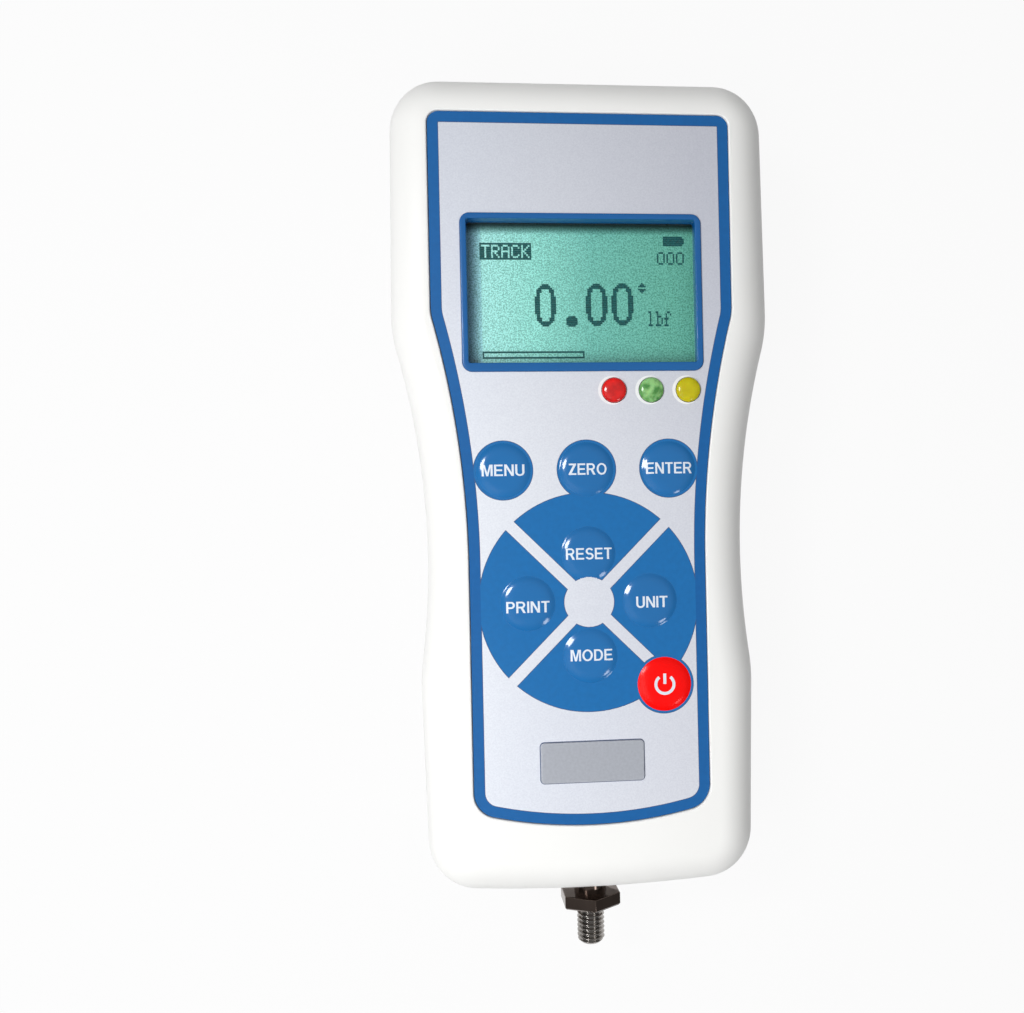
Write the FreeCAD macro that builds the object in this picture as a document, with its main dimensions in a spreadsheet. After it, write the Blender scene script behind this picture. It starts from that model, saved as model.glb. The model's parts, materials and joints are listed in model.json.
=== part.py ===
import FreeCAD, Part
import Sketcher
import math
import os

# Hand-held digital force gauge, lying on its back.
# Origin: flat back face, centre of the four rear mounting bushes.
# +X to the right of the display, +Y towards the display end, +Z out of the front panel.
# The measuring shaft points along -Y. All sizes are in millimetres.

DRIVING_SIZES = {
    # Casing outline, seen from the front
    "foot_flare": 1.9,
    "top_taper": 0.7,
    "base_taper": 1.1,
    "waist_lift": 10.0,
    "shoulder_lift": 9.1,
    "base_bow_radius": 330.0,
    "corner_surplus": 2.5,
    "shoulder_radius": 30.0,
    "foot_radius": 38.0,
    "front_edge_radius": 8.0,
    "back_edge_radius": 5.0,
    # Casing walls
    "side_wall": 2.5,
    "back_wall": 2.5,
    "panel_wall": 1.6,
    "tongue_height": 1.2,
    "tongue_gap": 0.1,
    "tongue_width": 1.0,
    # Front panel stack
    "rim_side_flat": 1.0,
    "rim_top_flat": 0.9,
    "rim_base_flat": 7.0,
    "panel_drop": 0.3,
    "panel_gap": 0.15,
    "panel_bend_lift": 8.0,
    "panel_kink_lift": 11.8,
    "panel_bow_radius": 87.6,
    "panel_top_corner": 2.3,
    "panel_base_corner": 5.0,
    "overlay_thickness": 0.4,
    "spacer_thickness": 0.8,
    "film_thickness": 0.2,
    "layer_inset": 0.4,
    # Display frame and window
    "display_margin_top": 20.3,
    "display_margin_side": 6.0,
    "display_width": 49.0,
    "display_height": 32.0,
    "display_corner": 2.0,
    "frame_side_lip": 1.3,
    "frame_top_lip": 1.2,
    "frame_base_lip": 1.75,
    "frame_rise": 0.4,
    "frame_gap": 0.1,
    "sleeve_inset": 0.5,
    "window_thickness": 0.8,
    # Display module
    "bezel_sheet": 0.4,
    "bezel_side": 2.5,
    "bezel_over": 3.1,
    "bezel_wall": 0.6,
    "module_overhang": 0.5,
    "glass_gap": 0.2,
    "glass_thickness": 2.2,
    "backlight_thickness": 3.4,
    "module_board_side": 1.5,
    "module_board_over": 2.4,
    "board_thickness": 1.6,
    "module_spacer": 2.6,
    "module_spacer_radius": 1.8,
    "module_spacer_inset": 3.0,
    # Main board
    "main_board_side": 1.5,
    "main_board_gap": 1.5,
    "board_post_gap": 1.1,
    "board_post_radius": 2.6,
    "board_post_inset": 4.0,
    "board_screw_radius": 1.1,
    "board_screw_length": 6.0,
    "board_screw_head_radius": 2.2,
    "board_screw_head": 1.4,
    # Indicator lamps
    "lamp_clearance": 0.6,
    "lamp_side": 3.28,
    "lamp_pitch": 7.62,
    "lamp_radius": 2.5,
    "lamp_flange_radius": 2.8,
    "lamp_flange": 1.0,
    "lamp_stand_off": 4.0,
    "lamp_crown": 0.8,
    "lamp_rise": 0.2,
    "lamp_gap": 0.12,
    "lamp_lead": 0.5,
    "lamp_lead_pitch": 2.54,
    # Keys
    "key_row_drop": 16.0,
    "key_pitch": 16.8,
    "key_margin": 1.6,
    "pad_drop": 26.9,
    "side_key_offset": 12.4,
    "reset_offset": 9.8,
    "mode_offset": 10.9,
    "power_x": 15.0,
    "power_drop": 17.1,
    "key_radius": 5.5,
    "key_gap": 0.1,
    "key_travel": 0.3,
    "key_edge": 0.15,
    "key_crown": 0.75,
    "key_flange": 0.2,
    "key_flange_width": 0.4,
    "pocket_clearance": 0.2,
    "snap_radius": 4.2,
    "snap_top_radius": 2.4,
    # Blank rating plate
    "plate_width": 21.0,
    "plate_height": 8.2,
    "plate_corner": 0.8,
    "plate_thickness": 0.4,
    "plate_drop": 32.3,
    "plate_lift": 12.7,
    # Measuring shaft
    "neck_radius": 3.6,
    "neck_showing": 4.9,
    "hex_across_flats": 12.2,
    "hex_thickness": 2.8,
    "hex_turn": 36.0,
    "stud_radius": 3.0,
    "stud_length": 8.6,
    "stud_chamfer": 0.7,
    "shaft_travel": 0.25,
    "ring_wall": 2.25,
    "ring_lip": 1.6,
    "ring_flange": 1.2,
    "ring_clearance": 0.35,
    "ring_recess": 0.4,
    "ring_room": 0.3,
    # Load cell
    "cell_width": 28.0,
    "cell_thickness": 14.0,
    "cell_arm": 10.0,
    "cell_slot": 2.5,
    "cell_slot_web": 6.0,
    "cell_web": 3.0,
    "cell_lobe_radius": 3.5,
    "cell_lobe_pitch": 11.0,
    "cell_rise": 12.0,
    "spigot_radius": 2.95,
    "spigot_length": 8.0,
    "spigot_clearance": 0.05,
    "shoulder_gap": 0.4,
    "gauge_length": 5.0,
    "gauge_width": 4.0,
    "gauge_thickness": 0.15,
    # Chassis
    "chassis_side": 5.0,
    "chassis_end": 4.5,
    "chassis_thickness": 4.0,
    "chassis_post_gap": 1.3,
    "anchor_thickness": 8.0,
    "anchor_screw_pitch": 15.0,
    "anchor_screw_radius": 2.5,
    "anchor_screw_head_radius": 4.25,
    "anchor_screw_head": 4.5,
    "anchor_screw_depth": 9.0,
    "chassis_screw_side": 1.0,
    "chassis_screw_lift": 5.0,
    "chassis_screw_top_y": 0.0,
    "chassis_post_radius": 2.6,
    "chassis_screw_radius": 1.2,
    "chassis_screw_head_radius": 3.3,
    "chassis_screw_head": 1.8,
    "chassis_screw_depth": 5.0,
    # Rear mounting bushes
    "mount_spacing_x": 40.0,
    "mount_spacing_y": 30.0,
    "mount_hole_radius": 1.65,
    "mount_bush_radius": 3.5,
    # Case screws
    "case_post_wall": 1.2,
    "case_post_side_gap": 0.7,
    "case_post_end_gap": 4.2,
    "case_screw_radius": 1.4,
    "case_screw_clearance": 0.3,
    "case_screw_head_radius": 2.7,
    "case_screw_head": 2.0,
    "case_screw_recess": 4.0,
    "case_screw_bite": 9.0,
    # Battery
    "battery_radius": 5.15,
    "battery_gap": 0.2,
    "battery_length": 44.0,
    "battery_tip_radius": 1.8,
    "battery_tip": 0.8,
    "tray_gap": 0.3,
    "tray_wall": 1.2,
    "tray_floor": 1.0,
    "tray_height": 9.0,
    "tray_end_gap": 1.0,
    "board_gap": 5.2,
    "strap_width": 9.0,
    "strap_sheet": 0.5,
    # Sockets at the display end
    "socket_board_width": 40.0,
    "socket_board_depth": 12.0,
    "socket_clearance": 1.1,
    "socket_post_radius": 2.4,
    "socket_post_inset": 2.8,
    "socket_recess": 1.0,
    "socket_gap": 0.15,
    "power_socket_x": -7.5,
    "power_socket_width": 9.0,
    "power_socket_height": 10.6,
    "power_socket_depth": 13.0,
    "power_bore_radius": 2.8,
    "power_bore_depth": 9.0,
    "power_pin_radius": 1.0,
    "power_pin_drop": 1.0,
    "data_socket_x": 7.5,
    "data_socket_width": 7.7,
    "data_socket_height": 3.9,
    "data_socket_depth": 9.2,
    "data_socket_sheet": 0.35,
    "data_socket_back": 1.0,
    "data_tongue_height": 1.0,
    "data_tongue_inset": 1.0,
    # Small parts on the main board
    "buzzer_radius": 6.0,
    "buzzer_height": 5.5,
    "buzzer_side_gap": 5.0,
    "buzzer_lift": 1.0,
    "tail_width": 12.0,
    "tail_slot_gap": 0.5,
    "tail_drop": 9.9,
    "connector_height": 3.5,
    "connector_depth": 4.0,
    "connector_wall": 1.0,
    "controller_width": 14.0,
    "controller_side_gap": 8.0,
    "controller_drop": 17.3,
    "amplifier_width": 7.0,
    "amplifier_side_gap": 12.5,
    "amplifier_drop": 10.3,
    "chip_height": 1.6,
}

BATTERY_CELLS = 3


class Size:
    """A length that carries its value and its formula in the sheet."""

    def __init__(self, value, text):
        self.value = value
        self.text = text

    def __add__(self, other):
        other = as_size(other)
        return Size(self.value + other.value, f"({self.text} + {other.text})")

    def __radd__(self, other):
        return as_size(other) + self

    def __sub__(self, other):
        other = as_size(other)
        return Size(self.value - other.value, f"({self.text} - {other.text})")

    def __rsub__(self, other):
        return as_size(other) - self

    def __mul__(self, other):
        other = as_size(other)
        return Size(self.value * other.value, f"({self.text} * {other.text})")

    def __rmul__(self, other):
        return as_size(other) * self

    def __truediv__(self, other):
        other = as_size(other)
        return Size(self.value / other.value, f"({self.text} / {other.text})")

    def __neg__(self):
        return Size(-self.value, f"(0 - {self.text})")


def as_size(number):
    return number if isinstance(number, Size) else Size(float(number), repr(float(number)))


def root(size):
    return Size(math.sqrt(size.value), f"sqrt({size.text})")


class SizeSheet:
    """The spreadsheet of driving sizes, read by name."""

    def __init__(self, document, sizes):
        self.sheet = document.addObject("Spreadsheet::Sheet", "Sizes")
        for row, (alias, value) in enumerate(sizes.items(), start=1):
            self.sheet.set(f"A{row}", alias)
            self.sheet.set(f"B{row}", str(value))
            self.sheet.setAlias(f"B{row}", alias)
            setattr(self, alias, Size(float(value), f"Sizes.{alias}"))


doc = FreeCAD.newDocument("ForceGauge")
S = SizeSheet(doc, DRIVING_SIZES)
doc.recompute()

ZERO = as_size(0)
ALONG_X = FreeCAD.Rotation(FreeCAD.Vector(0, 1, 0), 90)
ALONG_Y = FreeCAD.Rotation(FreeCAD.Vector(1, 0, 0), -90)
TOLERANCE = 1e-4

# Rims round the front panel and half widths of the casing
rim_side = S.front_edge_radius + S.rim_side_flat
rim_top = S.front_edge_radius + S.rim_top_flat
rim_base = S.front_edge_radius + S.rim_base_flat
corner_radius = S.front_edge_radius + S.corner_surplus
waist_half = S.key_pitch + S.key_radius + S.key_margin + rim_side
shoulder_half = S.display_width / 2 + S.display_margin_side + rim_side
shoulder_flare = shoulder_half - waist_half
foot_half = waist_half + S.foot_flare
top_half = shoulder_half - S.top_taper
base_half = foot_half - S.base_taper

# Heights above the back face, stacked from the battery tray up to the front
battery_top = S.back_wall + S.tray_floor + 2 * S.battery_radius
main_board_under = battery_top + S.strap_sheet + S.board_gap + S.board_screw_head
main_board_height = main_board_under + S.board_thickness
module_board_top = main_board_height + S.module_spacer + S.board_thickness
glass_under = module_board_top + S.backlight_thickness
glass_top = glass_under + S.glass_thickness
ceiling = glass_top + S.bezel_sheet
recess_floor = ceiling + S.panel_wall
spacer_under = recess_floor + S.film_thickness
overlay_under = spacer_under + S.spacer_thickness
panel_height = overlay_under + S.overlay_thickness
body_depth = panel_height + S.panel_drop
split_height = body_depth / 2
shaft_height = split_height
chassis_top = S.back_wall + S.chassis_thickness

# Places along the gauge, stacked from the top end down to the base
lamp_drop = S.module_overhang + S.lamp_clearance + S.lamp_flange_radius
above_keys = rim_top + S.display_margin_top + S.display_height + lamp_drop + S.key_row_drop
body_length = above_keys + S.pad_drop + S.plate_drop + S.plate_lift + rim_base
top_y = body_length / 2
base_y = -body_length / 2
panel_top = top_y - rim_top
panel_base = base_y + rim_base
display_top = panel_top - S.display_margin_top
display_base = display_top - S.display_height
display_y = (display_top + display_base) / 2
module_base = display_base - S.module_overhang
lamp_y = display_base - lamp_drop
key_row_y = lamp_y - S.key_row_drop
pad_y = key_row_y - S.pad_drop
plate_y = pad_y - S.plate_drop
tail_y = key_row_y - S.tail_drop
cell_base_y = base_y + S.cell_rise
cell_length = 2 * (S.cell_arm + S.cell_slot + S.cell_web + S.cell_lobe_radius)
cell_top_y = cell_base_y + cell_length
anchor_top_y = cell_top_y + S.anchor_thickness
bezel_width = S.display_width + 2 * S.bezel_side
bezel_height = S.module_overhang + S.display_height + S.bezel_over
module_board_width = bezel_width + 2 * S.module_board_side
module_board_height = bezel_height + S.module_board_over
main_board_width = S.display_width + 2 * S.main_board_side
main_board_base_y = anchor_top_y + S.anchor_screw_head + S.main_board_gap
upper_board_post_y = module_base + module_board_height + S.board_post_gap + S.board_post_radius
main_board_top_y = upper_board_post_y + S.board_post_inset
hex_top_y = base_y - S.neck_showing
ring_radius = S.neck_radius + S.ring_clearance + S.ring_wall
ring_flange_radius = ring_radius + S.ring_lip
pocket_radius = S.key_radius + S.key_gap + S.key_flange_width + S.pocket_clearance


def bend_radius(rise, reach):
    """The radius of an arc that starts along Y and moves sideways by rise over a reach in Y."""
    return (reach * reach + rise * rise) / (2 * rise)


# Waist of the casing and of the panel
waist_y = pad_y + S.waist_lift
waist_radius = bend_radius(shoulder_flare, display_base + S.shoulder_lift - waist_y)
panel_bend_y = pad_y + S.panel_bend_lift
panel_bend_radius = bend_radius(shoulder_flare, display_base + S.panel_kink_lift - panel_bend_y)

# Keys: name, x, y
KEYS = [
    ("menu_key", -S.key_pitch, key_row_y),
    ("zero_key", ZERO, key_row_y),
    ("enter_key", S.key_pitch, key_row_y),
    ("reset_key", ZERO, pad_y + S.reset_offset),
    ("print_key", -S.side_key_offset, pad_y),
    ("unit_key", S.side_key_offset, pad_y),
    ("mode_key", ZERO, pad_y - S.mode_offset),
    ("power_key", S.power_x, pad_y - S.power_drop),
]

# Lamps: name, x
yellow_lamp_x = S.display_width / 2 - S.lamp_side
LAMPS = [
    ("red_lamp", yellow_lamp_x - 2 * S.lamp_pitch),
    ("green_lamp", yellow_lamp_x - S.lamp_pitch),
    ("yellow_lamp", yellow_lamp_x),
]

# Fixing places on the right side, repeated on the left
wall_and_tongue = S.side_wall + S.tongue_gap + S.tongue_width
case_post_radius = S.case_screw_head_radius + S.case_screw_clearance + S.case_post_wall
case_post_side = wall_and_tongue + S.case_post_side_gap + case_post_radius
case_post_end = wall_and_tongue + S.case_post_end_gap + case_post_radius
CASE_POSTS = [
    (top_half - case_post_side, top_y - case_post_end),
    (base_half - case_post_side, base_y + case_post_end),
]
board_post_x = main_board_width / 2 - S.board_post_inset
BOARD_POSTS = [
    (board_post_x, main_board_base_y + S.board_post_inset),
    (board_post_x, upper_board_post_y),
]
chassis_width = S.mount_spacing_x + 2 * S.chassis_side
chassis_base_y = base_y + case_post_end + case_post_radius + S.chassis_post_gap
chassis_top_y = S.mount_spacing_y / 2 + S.chassis_end
chassis_screw_x = S.mount_spacing_x / 2 + S.chassis_screw_side
CHASSIS_POSTS = [
    (chassis_screw_x, chassis_base_y + S.chassis_screw_lift),
    (chassis_screw_x, S.chassis_screw_top_y),
]
MOUNT_BUSHES = [
    (S.mount_spacing_x / 2, S.mount_spacing_y / 2),
    (S.mount_spacing_x / 2, -S.mount_spacing_y / 2),
]


def both_sides(places):
    """The places on the right and their mirror images on the left."""
    return places + [(-x, y) for x, y in places]


def bind(feature, **formulas):
    """Ties properties of a feature to formulas in the sheet."""
    for name, size in formulas.items():
        feature.setExpression(name, as_size(size).text)


def place(feature, x, y, z, rotation=None):
    """Puts a feature at a place that follows the sheet."""
    feature.Placement = FreeCAD.Placement(FreeCAD.Vector(0, 0, 0), rotation or FreeCAD.Rotation())
    for axis, size in (("x", x), ("y", y), ("z", z)):
        feature.setExpression(f"Placement.Base.{axis}", as_size(size).text)
    return feature


def origin_feature(body, role):
    return next(item for item in body.Origin.OriginFeatures if item.Role == role)


def new_sketch(body, role="XY_Plane", offset=ZERO):
    """A sketch on one of the body's own planes, lifted by an offset."""
    sketch = body.newObject("Sketcher::SketchObject", f"{body.Name}_outline")
    sketch.AttachmentSupport = [(origin_feature(body, role), "")]
    sketch.MapMode = "FlatFace"
    sketch.setExpression("AttachmentOffset.Base.z", as_size(offset).text)
    return sketch


def arc_between(start, end, radius, side):
    """The arc from start to end with its centre on the left (1) or right (-1) of the chord."""
    chord = end - start
    normal = FreeCAD.Vector(-chord.y, chord.x, 0).normalize()
    reach = math.sqrt(radius**2 - chord.Length**2 / 4)
    centre = (start + end) / 2 + normal * (side * reach)
    first, last = (start, end) if side > 0 else (end, start)
    angles = [math.atan2(p.y - centre.y, p.x - centre.x) for p in (first, last)]
    return Part.ArcOfCircle(Part.Circle(centre, FreeCAD.Vector(0, 0, 1), radius), *angles)


def draw_outline(sketch, points, arcs=None):
    """Draws a closed outline: corners as (x, y) sizes, and arcs as {side: (radius, centre side)}."""
    arcs = arcs or {}
    corners = [FreeCAD.Vector(x.value, y.value, 0) for x, y in points]
    sides = []
    for i, start in enumerate(corners):
        end = corners[(i + 1) % len(corners)]
        if i in arcs:
            radius, side = arcs[i]
            geometry = sketch.addGeometry(arc_between(start, end, radius.value, side), False)
            sides.append((geometry, 1, 2) if side > 0 else (geometry, 2, 1))
        else:
            geometry = sketch.addGeometry(Part.LineSegment(start, end), False)
            sides.append((geometry, 1, 2))
    for i, (geometry, first, last) in enumerate(sides):
        after, after_first, _ = sides[(i + 1) % len(sides)]
        sketch.addConstraint(Sketcher.Constraint("Coincident", geometry, last, after, after_first))
    for (geometry, first, _), (x, y) in zip(sides, points):
        for kind, size in (("DistanceX", x), ("DistanceY", y)):
            constraint = Sketcher.Constraint(kind, -1, 1, geometry, first, size.value)
            number = sketch.addConstraint(constraint)
            sketch.setExpression(f"Constraints[{number}]", size.text)
    for i, (radius, _) in arcs.items():
        number = sketch.addConstraint(Sketcher.Constraint("Radius", sides[i][0], radius.value))
        sketch.setExpression(f"Constraints[{number}]", radius.text)
    return sketch


def pad_outline(label, points, arcs, bottom, thickness):
    """A body with one pad of a closed outline, standing at the height bottom."""
    body = doc.addObject("PartDesign::Body", label)
    sketch = draw_outline(new_sketch(body, "XY_Plane", bottom), points, arcs)
    pad = body.newObject("PartDesign::Pad", f"{label}_pad")
    pad.Profile = sketch
    bind(pad, Length=thickness)
    doc.recompute()
    return body, pad


def upright_edges(shape, corners):
    """Names of the edges parallel to Z that pass through the corners."""
    names = []
    for number, edge in enumerate(shape.Edges, start=1):
        box = edge.BoundBox
        upright = box.XLength < TOLERANCE and box.YLength < TOLERANCE
        near = any(
            abs(box.XMin - x.value) < TOLERANCE and abs(box.YMin - y.value) < TOLERANCE for x, y in corners
        )
        if upright and near:
            names.append(f"Edge{number}")
    return names


def level_edges(shape, height):
    """Names of the edges that lie at one height."""
    return [
        f"Edge{number}"
        for number, edge in enumerate(shape.Edges, start=1)
        if abs(edge.BoundBox.ZMin - height) < TOLERANCE and abs(edge.BoundBox.ZMax - height) < TOLERANCE
    ]


def fillet(body, base, edges, radius):
    """Rounds edges of the body's last feature."""
    feature = body.newObject("PartDesign::Fillet", f"{body.Name}_fillet")
    feature.Base = (base, edges)
    bind(feature, Radius=radius)
    doc.recompute()
    return feature


def rectangle(x, y, width, height):
    """The corners of a rectangle about its centre, counterclockwise."""
    return [
        (x - width / 2, y - height / 2),
        (x + width / 2, y - height / 2),
        (x + width / 2, y + height / 2),
        (x - width / 2, y + height / 2),
    ]


def plate(label, x, y, width, height, bottom, thickness, corner=None):
    """A flat rectangular piece about (x, y), with rounded corners if corner is given."""
    corners = rectangle(as_size(x), as_size(y), width, height)
    body, pad = pad_outline(label, corners, None, bottom, thickness)
    if corner:
        fillet(body, pad, upright_edges(pad.Shape, corners), corner)
    return body


def cylinder(label, radius, height, x, y, z, rotation=None):
    piece = doc.addObject("Part::Cylinder", label)
    bind(piece, Radius=radius, Height=height)
    return place(piece, x, y, z, rotation)


def block(label, x, y, z, width, depth, height):
    """A box centred on x and y, standing at the height z."""
    piece = doc.addObject("Part::Box", label)
    bind(piece, Length=width, Width=depth, Height=height)
    return place(piece, x - width / 2, y - depth / 2, z)


def fuse(label, pieces):
    result = doc.addObject("Part::MultiFuse", label)
    result.Shapes = pieces
    result.Refine = True
    return result


def common(label, first, second):
    result = doc.addObject("Part::Common", label)
    result.Base = first
    result.Tool = second
    return result


def cut(label, base, tools):
    """The base with every tool taken out of it."""
    result = doc.addObject("Part::Cut", label)
    result.Base = base
    result.Tool = tools[0] if len(tools) == 1 else fuse(f"{label}_tools", tools)
    result.Refine = True
    return result


def group(label, pieces):
    """Separate solids that share one node."""
    result = doc.addObject("Part::Compound", label)
    result.Links = pieces
    return result


def columns(label, radius, height, places, z):
    """One cylinder at each place, standing at the height z."""
    return [cylinder(f"{label}_{n}", radius, height, x, y, z) for n, (x, y) in enumerate(places, start=1)]


def revolved(label, profile, arcs, role, axis):
    """A body turned from a half profile about one of its own axes."""
    body = doc.addObject("PartDesign::Body", label)
    sketch = draw_outline(new_sketch(body, role), profile, arcs)
    turned = body.newObject("PartDesign::Revolution", f"{label}_turned")
    turned.Profile = sketch
    turned.ReferenceAxis = (origin_feature(body, axis), [""])
    turned.Angle = 360
    return body


def casing_outline(inset):
    """Corners and arcs of the casing seen from the front, moved inwards by inset."""
    radius = waist_radius + inset
    shoulder_y = waist_y + root(2 * radius * shoulder_flare - shoulder_flare * shoulder_flare)
    foot_y = waist_y - root(2 * radius * S.foot_flare - S.foot_flare * S.foot_flare)
    base, foot = base_half - inset, foot_half - inset
    shoulder, top = shoulder_half - inset, top_half - inset
    bow_radius = S.base_bow_radius - inset
    bow = bow_radius - root(bow_radius * bow_radius - base * base)
    low, high = base_y + inset + bow, top_y - inset
    points = [
        (-base, low),
        (base, low),
        (foot, foot_y),
        (shoulder, shoulder_y),
        (top, high),
        (-top, high),
        (-shoulder, shoulder_y),
        (-foot, foot_y),
    ]
    arcs = {0: (bow_radius, 1), 2: (radius, -1), 6: (radius, -1)}
    return points, arcs


def casing_block(label, inset, bottom, top, front_radius=None, back_radius=None):
    """A solid with the casing's outline, rounded at its corners, front and back."""
    points, arcs = casing_outline(inset)
    body, last = pad_outline(label, points, arcs, bottom, top - bottom)
    rounding = (
        ([points[i] for i in (0, 1, 4, 5)], corner_radius - inset),
        ([points[i] for i in (3, 6)], S.shoulder_radius - inset),
        ([points[i] for i in (2, 7)], S.foot_radius - inset),
    )
    for corners, radius in rounding:
        last = fillet(body, last, upright_edges(last.Shape, corners), radius)
    if front_radius:
        last = fillet(body, last, level_edges(last.Shape, top.value), front_radius)
    if back_radius:
        last = fillet(body, last, level_edges(last.Shape, bottom.value), back_radius)
    return body


def panel_outline(inset):
    """Corners and arcs of the front panel, moved inwards by inset."""
    head = shoulder_half - rim_side - inset
    waist = waist_half - rim_side - inset
    radius = panel_bend_radius + inset
    kink_y = panel_bend_y + root(2 * radius * shoulder_flare - shoulder_flare * shoulder_flare)
    bow_radius = S.panel_bow_radius - inset
    bow = bow_radius - root(bow_radius * bow_radius - waist * waist)
    low, high = panel_base + inset + bow, panel_top - inset
    points = [
        (-waist, low),
        (waist, low),
        (waist, panel_bend_y),
        (head, kink_y),
        (head, high),
        (-head, high),
        (-head, kink_y),
        (-waist, panel_bend_y),
    ]
    arcs = {0: (bow_radius, 1), 2: (radius, -1), 6: (radius, -1)}
    return points, arcs


def panel_layer(label, inset, bottom, thickness):
    """A flat layer with the front panel's outline."""
    points, arcs = panel_outline(inset)
    body, last = pad_outline(label, points, arcs, bottom, thickness)
    last = fillet(body, last, upright_edges(last.Shape, points[4:6]), S.panel_top_corner - inset)
    fillet(body, last, upright_edges(last.Shape, points[0:2]), S.panel_base_corner - inset)
    return body


def frame_cutter(label, growth, bottom, thickness):
    """The display frame's outer rectangle, grown by a gap on every side."""
    return plate(
        label, ZERO, display_y, S.display_width + 2 * growth, S.display_height + 2 * growth,
        bottom, thickness, S.display_corner + growth,
    )


def key_cutters(label, radius, bottom, thickness):
    """One round hole for each key."""
    places = [(x, y) for _, x, y in KEYS]
    return columns(label, radius, thickness, places, bottom)


def lamp_cutters(label, bottom, thickness):
    """One round hole for each lamp."""
    places = [(x, lamp_y) for _, x in LAMPS]
    return columns(label, S.lamp_radius + S.lamp_gap, thickness, places, bottom)


# Casing
def make_hollow_casing():
    outer = casing_block(
        "casing_outside", ZERO, ZERO, body_depth, S.front_edge_radius, S.back_edge_radius
    )
    inner = casing_block(
        "casing_inside", S.side_wall, S.back_wall, ceiling,
        S.front_edge_radius - S.side_wall, S.back_edge_radius - S.side_wall,
    )
    return cut("casing_walls", outer, [inner])


def half_space(label, bottom, top):
    """A block wider than the casing between two heights."""
    return block(label, ZERO, ZERO, bottom, 4 * shoulder_half, 2 * body_length, top - bottom)


def make_front_shell(walls):
    upper = common("front_walls", walls, half_space("front_half", split_height, body_depth))
    posts = columns(
        "front_case_post", case_post_radius, ceiling - split_height, both_sides(CASE_POSTS), split_height
    )
    board_posts = columns(
        "board_post", S.board_post_radius, ceiling - main_board_height, both_sides(BOARD_POSTS),
        main_board_height,
    )
    solid = fuse("front_solid", [upper] + posts + board_posts)
    through = S.panel_wall + S.film_thickness + S.spacer_thickness
    tools = [panel_layer("panel_recess", -S.panel_gap, recess_floor, body_depth - recess_floor)]
    tools.append(frame_opening("display_opening", S.frame_gap, ceiling, through))
    tools += lamp_cutters("lamp_hole", ceiling, through)
    tools += columns(
        "case_pilot", S.case_screw_radius, S.case_screw_bite, both_sides(CASE_POSTS), split_height
    )
    tools += columns(
        "board_pilot", S.board_screw_radius, S.board_screw_length - S.board_thickness,
        both_sides(BOARD_POSTS), main_board_height,
    )
    tools.append(tail_slot("tail_opening", ceiling, through))
    tools += end_openings("front")
    return cut("front_shell", solid, tools)


def frame_opening(label, gap, bottom, thickness):
    """The hole in the panel wall that takes the frame's sleeve and the window."""
    inset = S.sleeve_inset - gap
    return plate(
        label, ZERO, display_y, S.display_width - 2 * inset, S.display_height - 2 * inset,
        bottom, thickness, S.display_corner - inset,
    )


def tail_slot(label, bottom, thickness):
    return block(
        label, ZERO, tail_y, bottom, S.tail_width + 2 * S.tail_slot_gap,
        S.film_thickness + 2 * S.tail_slot_gap, thickness,
    )


def end_openings(side):
    """The holes through the end walls for the shaft's guard ring and the power socket."""
    ring_hole = cylinder(
        f"{side}_ring_hole", ring_radius, 2 * S.side_wall, ZERO, base_y - S.side_wall, shaft_height, ALONG_Y
    )
    ring_room = cylinder(
        f"{side}_ring_room", ring_flange_radius + S.ring_room, 2 * S.tongue_width, ZERO,
        base_y + S.side_wall, shaft_height, ALONG_Y,
    )
    socket_hole = block(
        f"{side}_power_opening", S.power_socket_x, top_y, socket_board_top() - S.socket_gap,
        S.power_socket_width + 2 * S.socket_gap, 2 * wall_and_tongue,
        S.power_socket_height + 2 * S.socket_gap,
    )
    return [ring_hole, ring_room, socket_hole]


def make_rear_shell(walls):
    lower = common("rear_walls", walls, half_space("rear_half", ZERO, split_height))
    posts = columns(
        "rear_case_post", case_post_radius, split_height - S.back_wall, both_sides(CASE_POSTS), S.back_wall
    )
    chassis_posts = columns(
        "chassis_post", S.chassis_post_radius, S.chassis_thickness, both_sides(CHASSIS_POSTS), S.back_wall
    )
    socket_posts = columns(
        "socket_post", S.socket_post_radius, socket_board_under() - S.back_wall, socket_places(), S.back_wall
    )
    solid = fuse("rear_solid", [lower] + make_tongue() + posts + chassis_posts + socket_posts)
    tools = columns(
        "case_clearance", S.case_screw_radius + S.case_screw_clearance, split_height,
        both_sides(CASE_POSTS), ZERO,
    )
    tools += columns(
        "case_recess", S.case_screw_head_radius + S.case_screw_clearance, S.case_screw_recess,
        both_sides(CASE_POSTS), ZERO,
    )
    tools += columns(
        "chassis_pilot", S.chassis_screw_radius, S.chassis_screw_depth, both_sides(CHASSIS_POSTS),
        chassis_top - S.chassis_screw_depth,
    )
    tools += columns(
        "socket_pilot", S.board_screw_radius, S.board_screw_length - S.board_thickness, socket_places(),
        socket_board_under() - S.board_screw_length + S.board_thickness,
    )
    tools += columns("bush_hole", S.mount_bush_radius, S.back_wall, both_sides(MOUNT_BUSHES), ZERO)
    tools += end_openings("rear")
    tools.append(data_opening())
    return cut("rear_shell", solid, tools)


def make_tongue():
    """The thin rib that stands up from the rear half's wall and locates the front half."""
    root_inset = S.side_wall - S.tongue_gap
    lip_inset = S.side_wall + S.tongue_gap
    bottom = split_height - S.tongue_height
    return [
        wall_rib("tongue_root", root_inset, bottom, split_height),
        wall_rib("tongue_lip", lip_inset, bottom, split_height + S.tongue_height),
    ]


def wall_rib(label, inset, bottom, top):
    """A band along the inside of the side wall."""
    outside = casing_block(f"{label}_outside", inset, bottom, top)
    inside = casing_block(f"{label}_inside", wall_and_tongue, bottom, top)
    return cut(label, outside, [inside])


def socket_places():
    y = socket_board_y()
    return both_sides([(S.socket_board_width / 2 - S.socket_post_inset, y)])


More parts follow.
